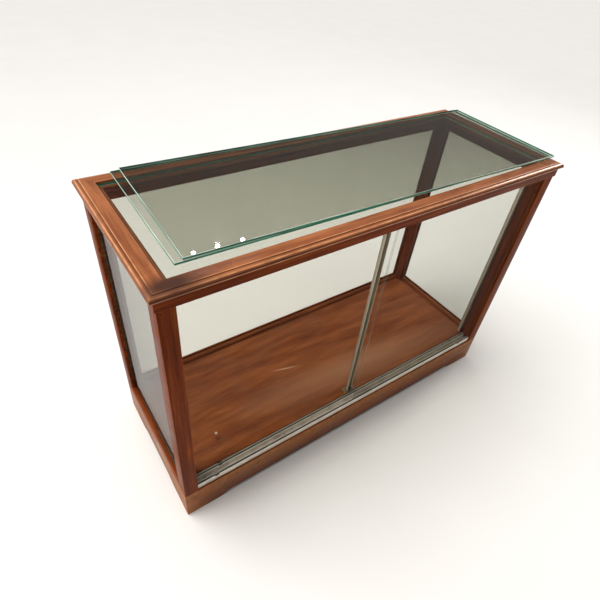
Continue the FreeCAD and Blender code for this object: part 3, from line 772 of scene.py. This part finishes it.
def upright_loops(plan, heights):
    """Loops of an upright from its plan outline, one for each (height, shrink)."""
    return [[((x, y, height), wear) for x, y, wear in shrunk(plan, shrink)] for height, shrink in heights]


def grain_of(side):
    """The axis that a board on this side runs along."""
    return "X" if side in ("front", "back") else "Y"


# ---------------------------------------------------------------- plinth

def plinth_outline(half):
    """Bracket feet with a soft double curve up to the raised edge, as (along, up, wear)."""
    toe, knee, rise = half - 95.0, half - 120.0, half - 145.0
    curve = arc_points((toe, 0), ((toe + knee) / 2 - 1.2, 1.4), (knee, 6.5), 5)
    curve += arc_points((knee, 6.5), ((knee + rise) / 2 + 1.2, 11.6), (rise, 13.0), 5)
    right = [(toe, 0.0, 0.0)] + [(u, v, 0.0) for u, v, _ in curve]
    left = [(-u, v, 0.0) for u, v, _ in reversed(right)]
    return [(-half, 0.0, 1.0), (-half, PLINTH_TOP, 1.0), (half, PLINTH_TOP, 1.0), (half, 0.0, 1.0)] + right + left


for side in SIDES:
    half = BODY_REACH[0] if side in ("front", "back") else BODY_REACH[1]
    outline = plinth_outline(half)
    loops = []
    for inward, ease in ((0.0, 0.9), (0.3, 0.3), (1.0, 0.0), (PLINTH_THICK, 0.0)):
        loop = []
        for along, up, wear in shrunk(outline, ease):
            near_end = abs(abs(along) - half) < 2.0
            along -= math.copysign(inward, along) if near_end else 0.0
            loop.append((on_side(side, BODY_REACH, along, inward, up), wear if inward < 1.0 else 0.0))
        loops.append(loop)
    board = new_skin()
    loft(board, loops)
    place_piece(f"plinth_board_{side}", board, [PLINTH_WOOD], [f"plinth_{side}"],
                grain=grain_of(side))

# ---------------------------------------------------------------- deck and sills

DECK_EDGES = {"side": 571.0, "front": -181.0, "back": 192.0}
NOTCH_PLAY = 0.3
deck_plan = []
for sx, sy in ((-1, -1), (1, -1), (1, 1), (-1, 1)):
    edge_x = DECK_EDGES["side"] * sx
    edge_y = DECK_EDGES["front" if sy < 0 else "back"]
    notch_x, notch_y = (POST_INNER[0] - NOTCH_PLAY) * sx, (POST_INNER[1] - NOTCH_PLAY) * sy
    corner = [(edge_x, notch_y, 0.0), (notch_x, notch_y, 0.0), (notch_x, edge_y, 0.0)]
    deck_plan += corner if sx * sy > 0 else corner[::-1]
deck = new_skin()
loft(deck, upright_loops(deck_plan, ((PLINTH_TOP, 0.0), (DECK_TOP - 0.5, 0.0), (DECK_TOP, 0.5))))
place_piece("deck", deck, [DECK_WOOD], ["deck_board"])

for side in ("back", "left", "right"):
    half = POST_INNER[0] if side == "back" else POST_INNER[1]
    section = rounded([(0, PLINTH_TOP, 0.6), (SILL_DEPTH, PLINTH_TOP, 0), (SILL_DEPTH, DECK_TOP, 0),
                       (0, DECK_TOP, 0.6)])
    sill = new_skin()
    loft(sill, strip_loops(side, BODY_REACH, section, -half, half))
    place_piece(f"sill_{side}", sill, [BODY_WOOD], [f"sill_rail_{side}"], grain=grain_of(side))

# ---------------------------------------------------------------- posts

for name, (sx, sy) in CORNERS.items():
    outer_x, outer_y = BODY_REACH
    inner_x, inner_y = POST_INNER
    seat = GLASS_INSET + GLASS_THICK
    foot_plan = [(inner_x, inner_y, 0.8), (outer_x, inner_y, 0.8), (outer_x, outer_y, 1.6), (inner_x, outer_y, 0.8)]
    plan = [(inner_x, inner_y, 0.8), (outer_x - seat, inner_y, 0.4), (outer_x - seat, inner_y + REBATE, 0),
            (outer_x, inner_y + REBATE, 0.5), (outer_x, outer_y, 1.6)]
    if sy > 0:
        plan += [(inner_x + REBATE, outer_y, 0.5), (inner_x + REBATE, outer_y - seat, 0),
                 (inner_x, outer_y - seat, 0.4)]
    else:
        plan += [(inner_x, outer_y, 1.2)]
    post = new_skin()
    for outline, heights in ((foot_plan, ((PLINTH_TOP, 0.5), (PLINTH_TOP + 0.5, 0), (DECK_TOP, 0))),
                             (plan, ((DECK_TOP, 0), (HEADER_BOTTOM - 0.4, 0), (HEADER_BOTTOM, 0.4)))):
        turned = [(sx * x, sy * y, wear) for x, y, wear in rounded(outline, 3)]
        loft(post, upright_loops(turned, heights))
    place_piece(f"shaped_post_{name}", post, [BODY_WOOD], [f"post_{name}"], grain="Z")

# ---------------------------------------------------------------- header and moulded top frame

for side in SIDES:
    half = HEADER_REACH[0] if side in ("front", "back") else HEADER_REACH[1]
    # the groove's near side, far side and depth: wide for the door guide in front, narrow for a pane elsewhere
    groove = (7.8, 39.2, 17.0) if side == "front" else (12.8, 18.2, 8.0)
    section = rounded([
        (0, HEADER_BOTTOM, 1.2), (groove[0], HEADER_BOTTOM, 0.4), (groove[0], HEADER_BOTTOM + groove[2], 0),
        (groove[1], HEADER_BOTTOM + groove[2], 0), (groove[1], HEADER_BOTTOM, 0.4),
        (HEADER_DEPTH, HEADER_BOTTOM, 0.8), (HEADER_DEPTH, HEADER_TOP, 0), (0, HEADER_TOP, 0)], 3)
    header = new_skin()
    loft(header, strip_loops(side, HEADER_REACH, section, -half, half, mitre=True))
    place_piece(f"frieze_{side}", header, [BODY_WOOD], [f"header_{side}"], grain=grain_of(side))

    top = CASE_TOP
    moulding = [(51.0, HEADER_TOP, 0), (51.0, PANE_SEAT, 0.4), (41.0, PANE_SEAT, 0), (41.0, top, 1.3),
                (15.0, top, 0), (12.0, top, 1.0), (12.0, top - 1.6, 0)]
    moulding += arc_points((12.0, top - 1.6), (4.6, top - 3.0), (1.3, top - 7.4), 7)
    moulding += [(2.6, top - 8.0, 0)]
    moulding += arc_points((2.6, top - 8.0), (0.0, top - 10.7), (2.6, top - 13.4), 7)
    moulding += [(4.4, top - 13.8, 0)]
    moulding += arc_points((4.4, top - 13.8), (7.7, top - 16.2), (9.0, HEADER_TOP), 6)
    section = rounded(moulding, 3)
    # Painted shade and painted highlight on the moulding: the quirks get -1, which the material paints darker, and
    # the points near the bead crests and the arris get 1.1, which paint the light worn colour there as a highlight
    # on top of the worn arrises.
    quirks = ((12.0, top - 1.6), (1.3, top - 7.4), (2.6, top - 8.0), (2.6, top - 13.4), (4.4, top - 13.8),
              (9.0, HEADER_TOP))
    rubbed_and_highlit = ((4.6, top - 3.0, 1.6), (0.0, top - 10.7, 1.2), (12.6, top, 0.9))
    section = [(u, v, -1.0 if any(math.dist((u, v), quirk) < 0.1 for quirk in quirks) else
                max([wear] + [1.1 for a, b, reach in rubbed_and_highlit if math.dist((u, v), (a, b)) < reach]))
               for u, v, wear in section]
    half = TOP_REACH[0] if side in ("front", "back") else TOP_REACH[1]
    rail = new_skin()
    loft(rail, strip_loops(side, TOP_REACH, section, -half, half, mitre=True, ease=0.25))
    place_piece(f"moulded_rail_{side}", rail, [RAIL_WOOD], [f"top_rail_{side}"],
                grain=grain_of(side))

# ---------------------------------------------------------------- glazing beads

bead_top = DECK_TOP + 12
for side in ("back", "left", "right"):
    half = POST_INNER[0] if side == "back" else POST_INNER[1]
    low = [(0, DECK_TOP, 0.3), (10, DECK_TOP, 0), (10, bead_top, 0.5), (6, bead_top, 0)]
    low += arc_points((6, bead_top), (1.75, DECK_TOP + 10.25), (0, DECK_TOP + 6), 6)
    upright = [(1, bead_top, 0), (10, bead_top, 0), (10, HEADER_BOTTOM, 0), (1, HEADER_BOTTOM, 0)]
    outer = new_skin()
    loft(outer, strip_loops(side, BODY_REACH, rounded(low), -half - REBATE, half + REBATE))
    for sign in (-1, 1):
        ends = sorted((sign * half, sign * (half + REBATE)))
        loft(outer, strip_loops(side, BODY_REACH, rounded(upright), *ends, ease=0.8))
    place_piece(f"outer_beading_{side}", outer, [BODY_WOOD], [f"outer_beads_{side}"],
                grain=grain_of(side))

    quarter = [(15, DECK_TOP, 0), (27, DECK_TOP, 0.3), (27, DECK_TOP + 2, 0)]
    quarter += arc_points((27, DECK_TOP + 2), (24.1, DECK_TOP + 9.1), (17, bead_top), 7)
    quarter += [(15, bead_top, 0.4)]
    inner = new_skin()
    loft(inner, strip_loops(side, BODY_REACH, rounded(quarter), -half + 0.3, half - 0.3))
    place_piece(f"inner_beading_{side}", inner, [BEAD_WOOD], [f"inner_bead_{side}"],
                grain=grain_of(side))

# ---------------------------------------------------------------- glass

def glass_sheet(name, size, lay, body, node, finishes=(PANE, PANE_EDGE, ARRIS), seam=0.9):
    """A pane whose edges are ground: size is long, high and thick, and lay puts a point in place."""
    length, width, thick = size
    flat = rounded([(-length / 2, -width / 2, 1.2), (length / 2, -width / 2, 1.2),
                    (length / 2, width / 2, 1.2), (-length / 2, width / 2, 1.2)])
    loops = []
    for depth, shrink in ((0.0, seam), (seam, 0.0), (thick - seam, 0.0), (thick, seam)):
        loops.append([(lay(a, b, depth), 0.0) for a, b, _ in shrunk(flat, shrink)])
    sheet = new_skin()
    loft(sheet, loops, wall_finishes=(2, 1, 2))
    place_piece(name, sheet, finishes, [node], body)


glass_sheet("counter_glass", TOP_PANE, lambda a, b, d: (a, b, PANE_SEAT + d), "case", "glass_top")
pane_top = HEADER_BOTTOM + REBATE - 0.2
pane_middle = (DECK_TOP + pane_top) / 2
for side in ("back", "left", "right"):
    half = (POST_INNER[0] if side == "back" else POST_INNER[1]) + REBATE - 0.2
    glass_sheet(f"{side}_glass", (2 * half, pane_top - DECK_TOP, GLASS_THICK),
                lambda a, b, d, side=side: on_side(side, BODY_REACH, a, GLASS_INSET + d, pane_middle + b),
                "case", f"glass_{side}")

DOOR_LOW, DOOR_HIGH = 117.3, 795.5
door_middle = (DOOR_LOW + DOOR_HIGH) / 2
for hand, sign, channel in (("left", -1, CHANNELS[1]), ("right", 1, CHANNELS[0])):
    centre = sign * (DOOR_REACH - DOOR_LENGTH / 2)
    glass_sheet(f"sliding_door_{hand}", (DOOR_LENGTH, DOOR_HIGH - DOOR_LOW, DOOR_THICK),
                lambda a, b, d, c=centre, y=channel: (c + a, y + 0.75 + d, door_middle + b),
                f"door_{hand}", f"door_{hand}", (DOOR_PANE, DOOR_EDGE, DOOR_EDGE))

# each loose shelf's size, then where its middle lies and its turn in degrees
for level, (name, size, place) in enumerate((("lower", (1136.0, 380.0, 6.0), (35.5, 14.5, -1.07)),
                                             ("upper", (1116.0, 377.0, 6.0), (43.5, 7.5, -1.68)))):
    turn = math.radians(place[2])
    base = CASE_TOP + SHELF_GAP + level * (size[2] + SHELF_GAP)
    glass_sheet(f"taken_out_shelf_{name}", size,
                lambda a, b, d, p=place, t=turn, z=base: (p[0] + a * math.cos(t) - b * math.sin(t),
                                                          p[1] + a * math.sin(t) + b * math.cos(t), z + d),
                f"shelf_{name}", f"loose_shelf_{name}")

# ---------------------------------------------------------------- door track and guide

def track_section(tops):
    """The twin-channel section seen from the end, with each channel's wall height, as (y, z, wear)."""
    base = PLINTH_TOP
    wall, channel, trough = 1.4, 6.0, 13.2
    points = [(0.0, base)]
    y = 0.0
    for index, height in enumerate(tops):
        crest = base + height
        # Painted highlight: each wall's crest gets the highest point value, so the aluminium's bright colour lies
        # along it.
        points += [(y, crest - 0.4, 0.4), (y + 0.4, crest, 1.0), (y + wall - 0.4, crest, 1.0),
                   (y + wall, crest - 0.4, 0.4)]
        y += wall
        if index in (0, 2):
            points += [(y, base + 11.0), (y + channel, base + 11.0)]
            y += channel
        elif index == 1:
            middle = TRACK_WIDTH / 2
            points += [(y, base + 1.4), (middle - 0.6, base + 1.4), (middle - 0.5, base + 4.0),
                       (middle + 0.5, base + 4.0), (middle + 0.6, base + 1.4), (y + trough, base + 1.4)]
            y += trough
    points.append((TRACK_WIDTH, base))
    return [(TRACK_FRONT + point[0], point[1], point[2] if len(point) > 2 else 0.0) for point in points]


reach = POST_INNER[0] - 0.3
uncut = (FULL_WALL,) * 4
front_cut, back_cut = (SAWN_WALL, SAWN_WALL, FULL_WALL, FULL_WALL), (FULL_WALL, FULL_WALL, SAWN_WALL, SAWN_WALL)
# the walls' heights at each place along the track, with two saw cuts near either end
stations = [(-reach, uncut)]
for centre, tops in ((-500.0, front_cut), (-478.0, back_cut), (478.0, back_cut), (500.0, front_cut)):
    stations += [(centre - 6.0, uncut), (centre - 5.99, tops), (centre + 5.99, tops), (centre + 6.0, uncut)]
stations.append((reach, uncut))
track = new_skin()
loft(track, [[((x, y, z), wear) for y, z, wear in track_section(tops)] for x, tops in stations])
place_piece("twin_track", track, [ALUMINIUM], ["door_track"])

guide = new_skin()
guide_points = [(0.0, GUIDE_TOP), (TRACK_WIDTH, GUIDE_TOP)]
for start in (29.4, 22.0, 7.4, 0.0):
    guide_points += [(start + 1.4, GUIDE_TOP - 1.4), (start + 1.4, GUIDE_TOP - 15.7), (start + 1.1, GUIDE_TOP - 16),
                     (start + 0.3, GUIDE_TOP - 16), (start, GUIDE_TOP - 15.7), (start, GUIDE_TOP - 1.4)]
guide_points.pop()  # the outer wall runs straight up from its foot
loft(guide, [[((x, TRACK_FRONT + y, z), 0.0) for y, z in guide_points] for x in (-reach, reach)])
place_piece("upper_guide", guide, [ALUMINIUM], ["door_guide"])

# ---------------------------------------------------------------- slotted shelf standards

def slotted_layout():
    """The node tree that repeats one slotted stretch of sheet up a standard, between its plain ends."""
    tree = bpy.data.node_groups.new("slots up a standard", "GeometryNodeTree")
    for name, kind in (("Plain ends", "Geometry"), ("Slotted stretch", "Object"), ("Slots", "Int"),
                       ("First slot", "Float"), ("Pitch", "Float"), ("Finish", "Material")):
        tree.interface.new_socket(name, in_out="INPUT", socket_type=f"NodeSocket{kind}")
    tree.interface.new_socket("Slotted sheet", in_out="OUTPUT", socket_type="NodeSocketGeometry")
    nodes, links = tree.nodes, tree.links
    given = nodes.new("NodeGroupInput")
    given.label = "ends, stretch, count, start, pitch and finish"
    start = nodes.new("ShaderNodeCombineXYZ")
    start.label = "height of the first slot"
    step = nodes.new("ShaderNodeCombineXYZ")
    step.label = "one slot to the next"
    line = nodes.new("GeometryNodeMeshLine")
    line.label = "a point for each slot"
    line.mode = "OFFSET"
    template = nodes.new("GeometryNodeObjectInfo")
    template.label = "the slotted stretch"
    instances = nodes.new("GeometryNodeInstanceOnPoints")
    instances.label = "one stretch at each point"
    joined = nodes.new("GeometryNodeJoinGeometry")
    joined.label = "with the plain ends"
    solid = nodes.new("GeometryNodeRealizeInstances")
    solid.label = "real geometry"
    finish = nodes.new("GeometryNodeSetMaterial")
    finish.label = "standard's finish"
    result = nodes.new("NodeGroupOutput")
    result.label = "slotted sheet"
    links.new(given.outputs["Slotted stretch"], template.inputs["Object"])
    links.new(given.outputs["First slot"], start.inputs["Z"])
    links.new(given.outputs["Pitch"], step.inputs["Z"])
    links.new(given.outputs["Slots"], line.inputs["Count"])
    links.new(start.outputs["Vector"], line.inputs["Start Location"])
    links.new(step.outputs["Vector"], line.inputs["Offset"])
    links.new(line.outputs["Mesh"], instances.inputs["Points"])
    links.new(template.outputs["Geometry"], instances.inputs["Instance"])
    links.new(given.outputs["Plain ends"], joined.inputs["Geometry"])
    links.new(instances.outputs["Instances"], joined.inputs["Geometry"])
    links.new(joined.outputs["Geometry"], solid.inputs["Geometry"])
    links.new(solid.outputs["Geometry"], finish.inputs["Geometry"])
    links.new(given.outputs["Finish"], finish.inputs["Material"])
    links.new(finish.outputs["Geometry"], result.inputs["Slotted sheet"])
    for column, node in enumerate((given, start, step, line, template, instances, joined, solid, finish, result)):
        node.location = (220 * column, -120 * (column % 2))
    return tree


SLOTTED_LAYOUT = slotted_layout()


def set_inputs(modifier, values):
    """Give a node tree's named inputs their values."""
    for item in modifier.node_group.interface.items_tree:
        if item.in_out == "INPUT" and item.name in values:
            modifier[item.identifier] = values[item.name]


def plain_mesh(piece):
    """The piece's mesh as its modifiers leave it."""
    return bpy.data.meshes.new_from_object(piece.evaluated_get(bpy.context.evaluated_depsgraph_get()))


def bent_sheet(name, centre, across, stretches):
    """Bare sheet bent to one outline, a strip for each (low, high, open spans) in millimetres."""
    sheet = new_skin()
    layer = sheet.verts.layers.float["wear"]
    for low, high, open_spans in stretches:
        edges = [[sheet.verts.new(Vector((centre + x, y, z)) * MM) for x, y in across] for z in (low, high)]
        for edge in edges:
            # Painted highlight: the flanges get high point values, highest at their free front edges, which the
            # steel shows in its bright colour.
            edge[0][layer] = edge[-1][layer] = 0.9
            edge[1][layer] = edge[-2][layer] = 0.35
        for span in range(len(across) - 1):
            if span not in open_spans:
                sheet.faces.new((edges[0][span], edges[0][span + 1], edges[1][span + 1], edges[1][span]))
    mesh = bpy.data.meshes.new(name)
    sheet.to_mesh(mesh)
    sheet.free()
    strip = bpy.data.objects.new(name, mesh)
    bpy.context.scene.collection.objects.link(strip)
    return strip


def slotted_standard(name, centre, width, low, high, columns):
    """A folded steel channel made from one slotted sheet, given its thickness at the end."""
    wall_x, back = width / 2 - SHEET / 2, STANDARD_FRONT + STANDARD_DEPTH - SHEET / 2
    bend = [(wall_x, STANDARD_FRONT), (wall_x, back - 1.2), (wall_x - 0.35, back - 0.35), (wall_x - 1.2, back)]
    across = [(-x, y) for x, y in bend]
    for column in sorted(columns):
        across += [(column - SLOT_WIDTH / 2, back), (column + SLOT_WIDTH / 2, back)]
    across += bend[::-1]
    slot_spans = {4 + 2 * index for index in range(len(columns))}
    first = (DECK_TOP + STANDARD_TOP - (SLOT_COUNT - 1) * SLOT_PITCH - SLOT_HEIGHT) / 2
    last = first + SLOT_COUNT * SLOT_PITCH
    folded = bent_sheet(f"folded_sheet_{name}", centre, across, [(low, first, ()), (last, high, ())])
    stretch = bent_sheet(f"slotted_stretch_{name}", centre, across,
                         [(0.0, SLOT_HEIGHT, slot_spans), (SLOT_HEIGHT, SLOT_PITCH, ())])
    repeated = folded.modifiers.new("slots", "NODES")
    repeated.node_group = SLOTTED_LAYOUT
    set_inputs(repeated, {"Slotted stretch": stretch, "Slots": SLOT_COUNT, "First slot": first * MM,
                          "Pitch": SLOT_PITCH * MM, "Finish": STEEL})
    welded = folded.modifiers.new("stretches joined", "WELD")
    welded.merge_threshold = 0.01 * MM
    wall = folded.modifiers.new("sheet thickness", "SOLIDIFY")
    wall.thickness = SHEET * MM
    wall.offset = 0.0
    made = plain_mesh(folded)
    bpy.data.objects.remove(folded)
    bpy.data.objects.remove(stretch)
    skin = bmesh.new()
    skin.from_mesh(made)
    bmesh.ops.recalc_face_normals(skin, faces=skin.faces)
    place_piece(f"slotted_standard_{name}", skin, [STEEL], [f"shelf_standard_{name}"],
                grain="Z")


slotted_standard("left", -558.0, 22.0, DECK_TOP, HEADER_BOTTOM, (SLOT_COLUMN,))
slotted_standard("centre", 0.0, 16.0, DECK_TOP + SHEET, STANDARD_TOP, (-SLOT_COLUMN, SLOT_COLUMN))
slotted_standard("right", 558.0, 22.0, DECK_TOP, HEADER_BOTTOM, (-SLOT_COLUMN,))

plate = new_skin()
plate_plan = rounded([(-21, -180.6, 2.5), (21, -180.6, 2.5), (21, -160.6, 2.5), (-21, -160.6, 2.5)], 3)
loft(plate, upright_loops(plate_plan, ((DECK_TOP, 0), (DECK_TOP + 1.1, 0), (DECK_TOP + SHEET, 0.4))))
place_piece("foot_plate", plate, [STEEL], ["standard_foot_plate"])

# ---------------------------------------------------------------- screws and nails

def screw_template(head_radius, head_height, shank_radius, shank_length, slot):
    """One screw, pointing down the -Z axis with the seat of its head at the origin, as a template."""
    profile = [(0.0, head_height), (head_radius * 0.55, head_height * 0.9), (head_radius * 0.88, head_height * 0.5),
               (head_radius, 0.0), (shank_radius, 0.0), (shank_radius, -shank_length * 0.75),
               (0.0, -shank_length)]
    sides = 16
    skin = new_skin()
    tip = skin.verts.new((0, 0, profile[0][1] * MM))
    end = skin.verts.new((0, 0, profile[-1][1] * MM))
    rings = []
    for radius, height in profile[1:-1]:
        rings.append([skin.verts.new(Vector((radius * math.cos(math.tau * i / sides),
                                             radius * math.sin(math.tau * i / sides), height)) * MM)
                      for i in range(sides)])
    for i in range(sides):
        j = (i + 1) % sides
        skin.faces.new((tip, rings[0][i], rings[0][j]))
        skin.faces.new((end, rings[-1][j], rings[-1][i]))
        for upper, lower in zip(rings, rings[1:]):
            skin.faces.new((upper[i], lower[i], lower[j], upper[j]))
    if slot:
        for vert in [tip] + [v for v in rings[0] if abs(v.co.y) < 0.35 * head_radius * MM]:
            vert.co.z -= head_height * 0.45 * MM
    bmesh.ops.recalc_face_normals(skin, faces=skin.faces)
    mesh = bpy.data.meshes.new("screw template")
    skin.to_mesh(mesh)
    skin.free()
    return bpy.data.objects.new("screw template", mesh)


def screw_layout():
    """The node tree that puts a screw at each point, facing the point's way, turned at random."""
    tree = bpy.data.node_groups.new("screws at their points", "GeometryNodeTree")
    for name, kind in (("Points", "Geometry"), ("Screw", "Object"), ("Size", "Float"),
                       ("Seed", "Int"), ("Finish", "Material")):
        tree.interface.new_socket(name, in_out="INPUT", socket_type=f"NodeSocket{kind}")
    tree.interface.new_socket("Screws", in_out="OUTPUT", socket_type="NodeSocketGeometry")
    nodes, links = tree.nodes, tree.links
    given = nodes.new("NodeGroupInput")
    given.label = "points, screw, size, seed and finish"
    facing = nodes.new("GeometryNodeInputNamedAttribute")
    facing.label = "which way each head faces"
    facing.data_type = "FLOAT_VECTOR"
    facing.inputs["Name"].default_value = "facing"
    aligned = nodes.new("FunctionNodeAlignRotationToVector")
    aligned.label = "head faces outwards"
    aligned.axis = "Z"
    chance = nodes.new("FunctionNodeRandomValue")
    chance.label = "where the driver stopped"
    chance.data_type = "FLOAT"
    chance.inputs["Max"].default_value = math.pi
    twist = nodes.new("FunctionNodeAxisAngleToRotation")
    twist.label = "turn about its own axis"
    turned = nodes.new("FunctionNodeRotateRotation")
    turned.label = "slot turned"
    turned.rotation_space = "LOCAL"
    template = nodes.new("GeometryNodeObjectInfo")
    template.label = "the screw"
    instances = nodes.new("GeometryNodeInstanceOnPoints")
    instances.label = "one screw at each point"
    solid = nodes.new("GeometryNodeRealizeInstances")
    solid.label = "real geometry"
    finish = nodes.new("GeometryNodeSetMaterial")
    finish.label = "screw finish"
    result = nodes.new("NodeGroupOutput")
    result.label = "finished screws"
    links.new(given.outputs["Points"], instances.inputs["Points"])
    links.new(given.outputs["Screw"], template.inputs["Object"])
    links.new(given.outputs["Size"], instances.inputs["Scale"])
    links.new(given.outputs["Seed"], chance.inputs["Seed"])
    links.new(given.outputs["Finish"], finish.inputs["Material"])
    links.new(template.outputs["Geometry"], instances.inputs["Instance"])
    links.new(facing.outputs["Attribute"], aligned.inputs["Vector"])
    links.new(chance.outputs[1], twist.inputs["Angle"])
    links.new(aligned.outputs["Rotation"], turned.inputs["Rotation"])
    links.new(twist.outputs["Rotation"], turned.inputs["Rotate By"])
    links.new(turned.outputs["Rotation"], instances.inputs["Rotation"])
    links.new(instances.outputs["Instances"], solid.inputs["Geometry"])
    links.new(solid.outputs["Geometry"], finish.inputs["Geometry"])
    links.new(finish.outputs["Geometry"], result.inputs["Screws"])
    for column, node in enumerate((given, facing, aligned, chance, twist, turned, template, instances, solid,
                                   finish, result)):
        node.location = (220 * column, -120 * (column % 2))
    return tree


SCREW_LAYOUT = screw_layout()


def place_screws(name, spots, template, finish, node, seed):
    """Screws at each ((x, y, z), facing) in millimetres, made into one plain mesh."""
    mesh = bpy.data.meshes.new(name)
    mesh.from_pydata([Vector(place) * MM for place, _ in spots], [], [])
    facing = mesh.attributes.new("facing", "FLOAT_VECTOR", "POINT")
    for index, (_, way) in enumerate(spots):
        facing.data[index].vector = way
    holder = bpy.data.objects.new(name, mesh)
    bpy.context.scene.collection.objects.link(holder)
    bpy.context.scene.collection.objects.link(template)
    maker = holder.modifiers.new("screws", "NODES")
    maker.node_group = SCREW_LAYOUT
    set_inputs(maker, {"Screw": template, "Size": 1.0, "Seed": seed, "Finish": finish})
    made = plain_mesh(holder)
    holder.modifiers.clear()
    holder.data = made
    bpy.data.objects.remove(template)
    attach(holder, "case")
    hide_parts(node)


UP, DOWN, INWARD, OUTWARD = (0, 0, 1), (0, 0, -1), (0, 1, 0), (0, -1, 0)
TRACK_MIDDLE = -194.8
screw_xs = (-530, -265, 0, 265, 530)
small = {"head_radius": 2.6, "head_height": 1.4, "shank_radius": 1.3, "shank_length": 14.0, "slot": True}
track_spots = [((x, TRACK_MIDDLE, PLINTH_TOP + 1.4), UP) for x in screw_xs]
guide_spots = [((x, TRACK_MIDDLE, GUIDE_TOP - 1.4), DOWN) for x in screw_xs]
place_screws("track_screw_set", track_spots, screw_template(**small), SCREW_STEEL, "track_screws", 3)
place_screws("guide_screw_set", guide_spots, screw_template(**small), SCREW_STEEL, "guide_screws", 5)
place_screws("foot_screw_set", [((x, -170.6, DECK_TOP + SHEET), UP) for x in (-16, 16)], screw_template(**small),
             SCREW_STEEL, "foot_screws", 8)
standard_back = STANDARD_FRONT + STANDARD_DEPTH
web_spots = [((0, standard_back, 795), INWARD)]
web_spots += [((sign * 564.0, standard_back, z), INWARD) for sign in (-1, 1) for z in (143.5, 778.5)]
place_screws("standard_screw_set", web_spots, screw_template(2.6, 1.4, 1.3, 17.0, True), SCREW_STEEL,
             "standard_screws", 13)
nail_spots = [((sign * 568.0, -HEADER_REACH[1], 790.0), OUTWARD) for sign in (-1, 1)]
nail_spots += [((sign * 589.5, -BODY_REACH[1], 778.0), OUTWARD) for sign in (-1, 1)]
place_screws("filled_nails", nail_spots, screw_template(1.5, 0.0, 1.1, 30.0, False), FILLER, "header_nails", 21)

# ---------------------------------------------------------------- CAD nodes that stay as they are

KEPT = {"plinth_corner_blocks": SOFTWOOD, "deck_cleats": SOFTWOOD, "deck_bearer": SOFTWOOD,
        "door_track_liners": FIBRE, "post_screws": SCREW_STEEL, "header_screws": SCREW_STEEL}
for node, finish in KEPT.items():
    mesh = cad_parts[node].data
    mesh.materials.clear()
    mesh.materials.append(finish)

# ---------------------------------------------------------------- floor, light and camera

scene = bpy.context.scene
floor_mesh = bpy.data.meshes.new("floor")
floor_mesh.from_pydata([(-20, -20, 0), (20, -20, 0), (20, 20, 0), (-20, 20, 0)], [], [(0, 1, 2, 3)])
floor_mesh.materials.append(FLOOR)
floor = bpy.data.objects.new("floor", floor_mesh)
scene.collection.objects.link(floor)
floor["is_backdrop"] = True

world = bpy.data.worlds.new("soft studio")
world.use_nodes = True
sky_nodes, sky_links = world.node_tree.nodes, world.node_tree.links
room = sky_nodes["Background"]
room.label = "dim room that lights the case"
room.inputs["Color"].default_value = (1.0, 0.985, 0.96, 1.0)
room.inputs["Strength"].default_value = 0.3
wall = sky_nodes.new("ShaderNodeBackground")
wall.label = "pale wall behind"
wall.inputs["Color"].default_value = (0.86, 0.855, 0.845, 1.0)
sight = sky_nodes.new("ShaderNodeLightPath")
sight.label = "what is looked at directly"
choice = sky_nodes.new("ShaderNodeMixShader")
choice.label = "wall to the eye, room to the case"
for row, node in enumerate((sight, room, wall, choice)):
    node.location = (60 * row, 500 - 200 * row)
sky_links.new(sight.outputs["Is Camera Ray"], choice.inputs["Fac"])
sky_links.new(room.outputs["Background"], choice.inputs[1])
sky_links.new(wall.outputs["Background"], choice.inputs[2])
sky_links.new(choice.outputs["Shader"], sky_nodes["World Output"].inputs["Surface"])
scene.world = world

sun = bpy.data.lights.new("broad daylight", "SUN")
sun.energy = 2.9
sun.angle = math.radians(55)
sun.color = (1.0, 0.975, 0.945)
daylight = bpy.data.objects.new("broad daylight", sun)
daylight.rotation_mode = "QUATERNION"
daylight.rotation_quaternion = Vector((-0.32, 0.3, 1.0)).to_track_quat("Z", "Y")
scene.collection.objects.link(daylight)
daylight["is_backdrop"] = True

LAMPS = [("soft light from the left", (-3.4, 0.2, 1.8), 2.0, 26.0, (1.0, 0.95, 0.88)),
         ("soft light above", (-1.6, 0.6, 3.2), 1.6, 26.0, (1.0, 0.98, 0.95)),
         ("soft light from the right", (3.2, 0.1, 2.5), 0.9, 30.0, (1.0, 0.99, 0.97))]
for number, place in enumerate(((0.77, 2.97, 3.3), (1.055, 2.98, 3.3), (1.355, 2.96, 3.3))):
    LAMPS.append((f"ceiling lamp {number}", place, 0.05, 0.35, (1.0, 0.98, 0.94)))
for name, place, size, power, colour in LAMPS:
    lamp = bpy.data.lights.new(name, "AREA")
    lamp.shape = "DISK"
    lamp.energy = power
    lamp.size = size
    lamp.color = colour
    light = bpy.data.objects.new(name, lamp)
    light.location = place
    light.rotation_mode = "QUATERNION"
    light.rotation_quaternion = (Vector(place) - Vector((0, 0, 0.6))).to_track_quat("Z", "Y")
    scene.collection.objects.link(light)
    light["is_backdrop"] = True

# the viewer stands before the left end and looks down, with the head a little tilted
azimuth, elevation, roll = (math.radians(angle) for angle in (-38.7603, 41.4826, 6.7435))
back = Vector((math.sin(azimuth) * math.cos(elevation), -math.cos(azimuth) * math.cos(elevation),
               math.sin(elevation)))
level = Vector((math.cos(azimuth), math.sin(azimuth), 0))
upward = back.cross(level)
turned_right = level * math.cos(roll) + upward * math.sin(roll)
turned_up = upward * math.cos(roll) - level * math.sin(roll)
lens = bpy.data.cameras.new("camera")
lens.lens = 27.88
lens.sensor_width = 36.0
camera = bpy.data.objects.new("camera", lens)
pose = Matrix((turned_right, turned_up, back)).transposed().to_4x4()
pose.translation = Vector((-0.759, -0.8071, 1.3493))
camera.matrix_world = pose
scene.collection.objects.link(camera)
scene.camera = camera
scene.view_settings.view_transform = "Standard"
scene.cycles.transparent_max_bounces = 40

low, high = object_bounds()
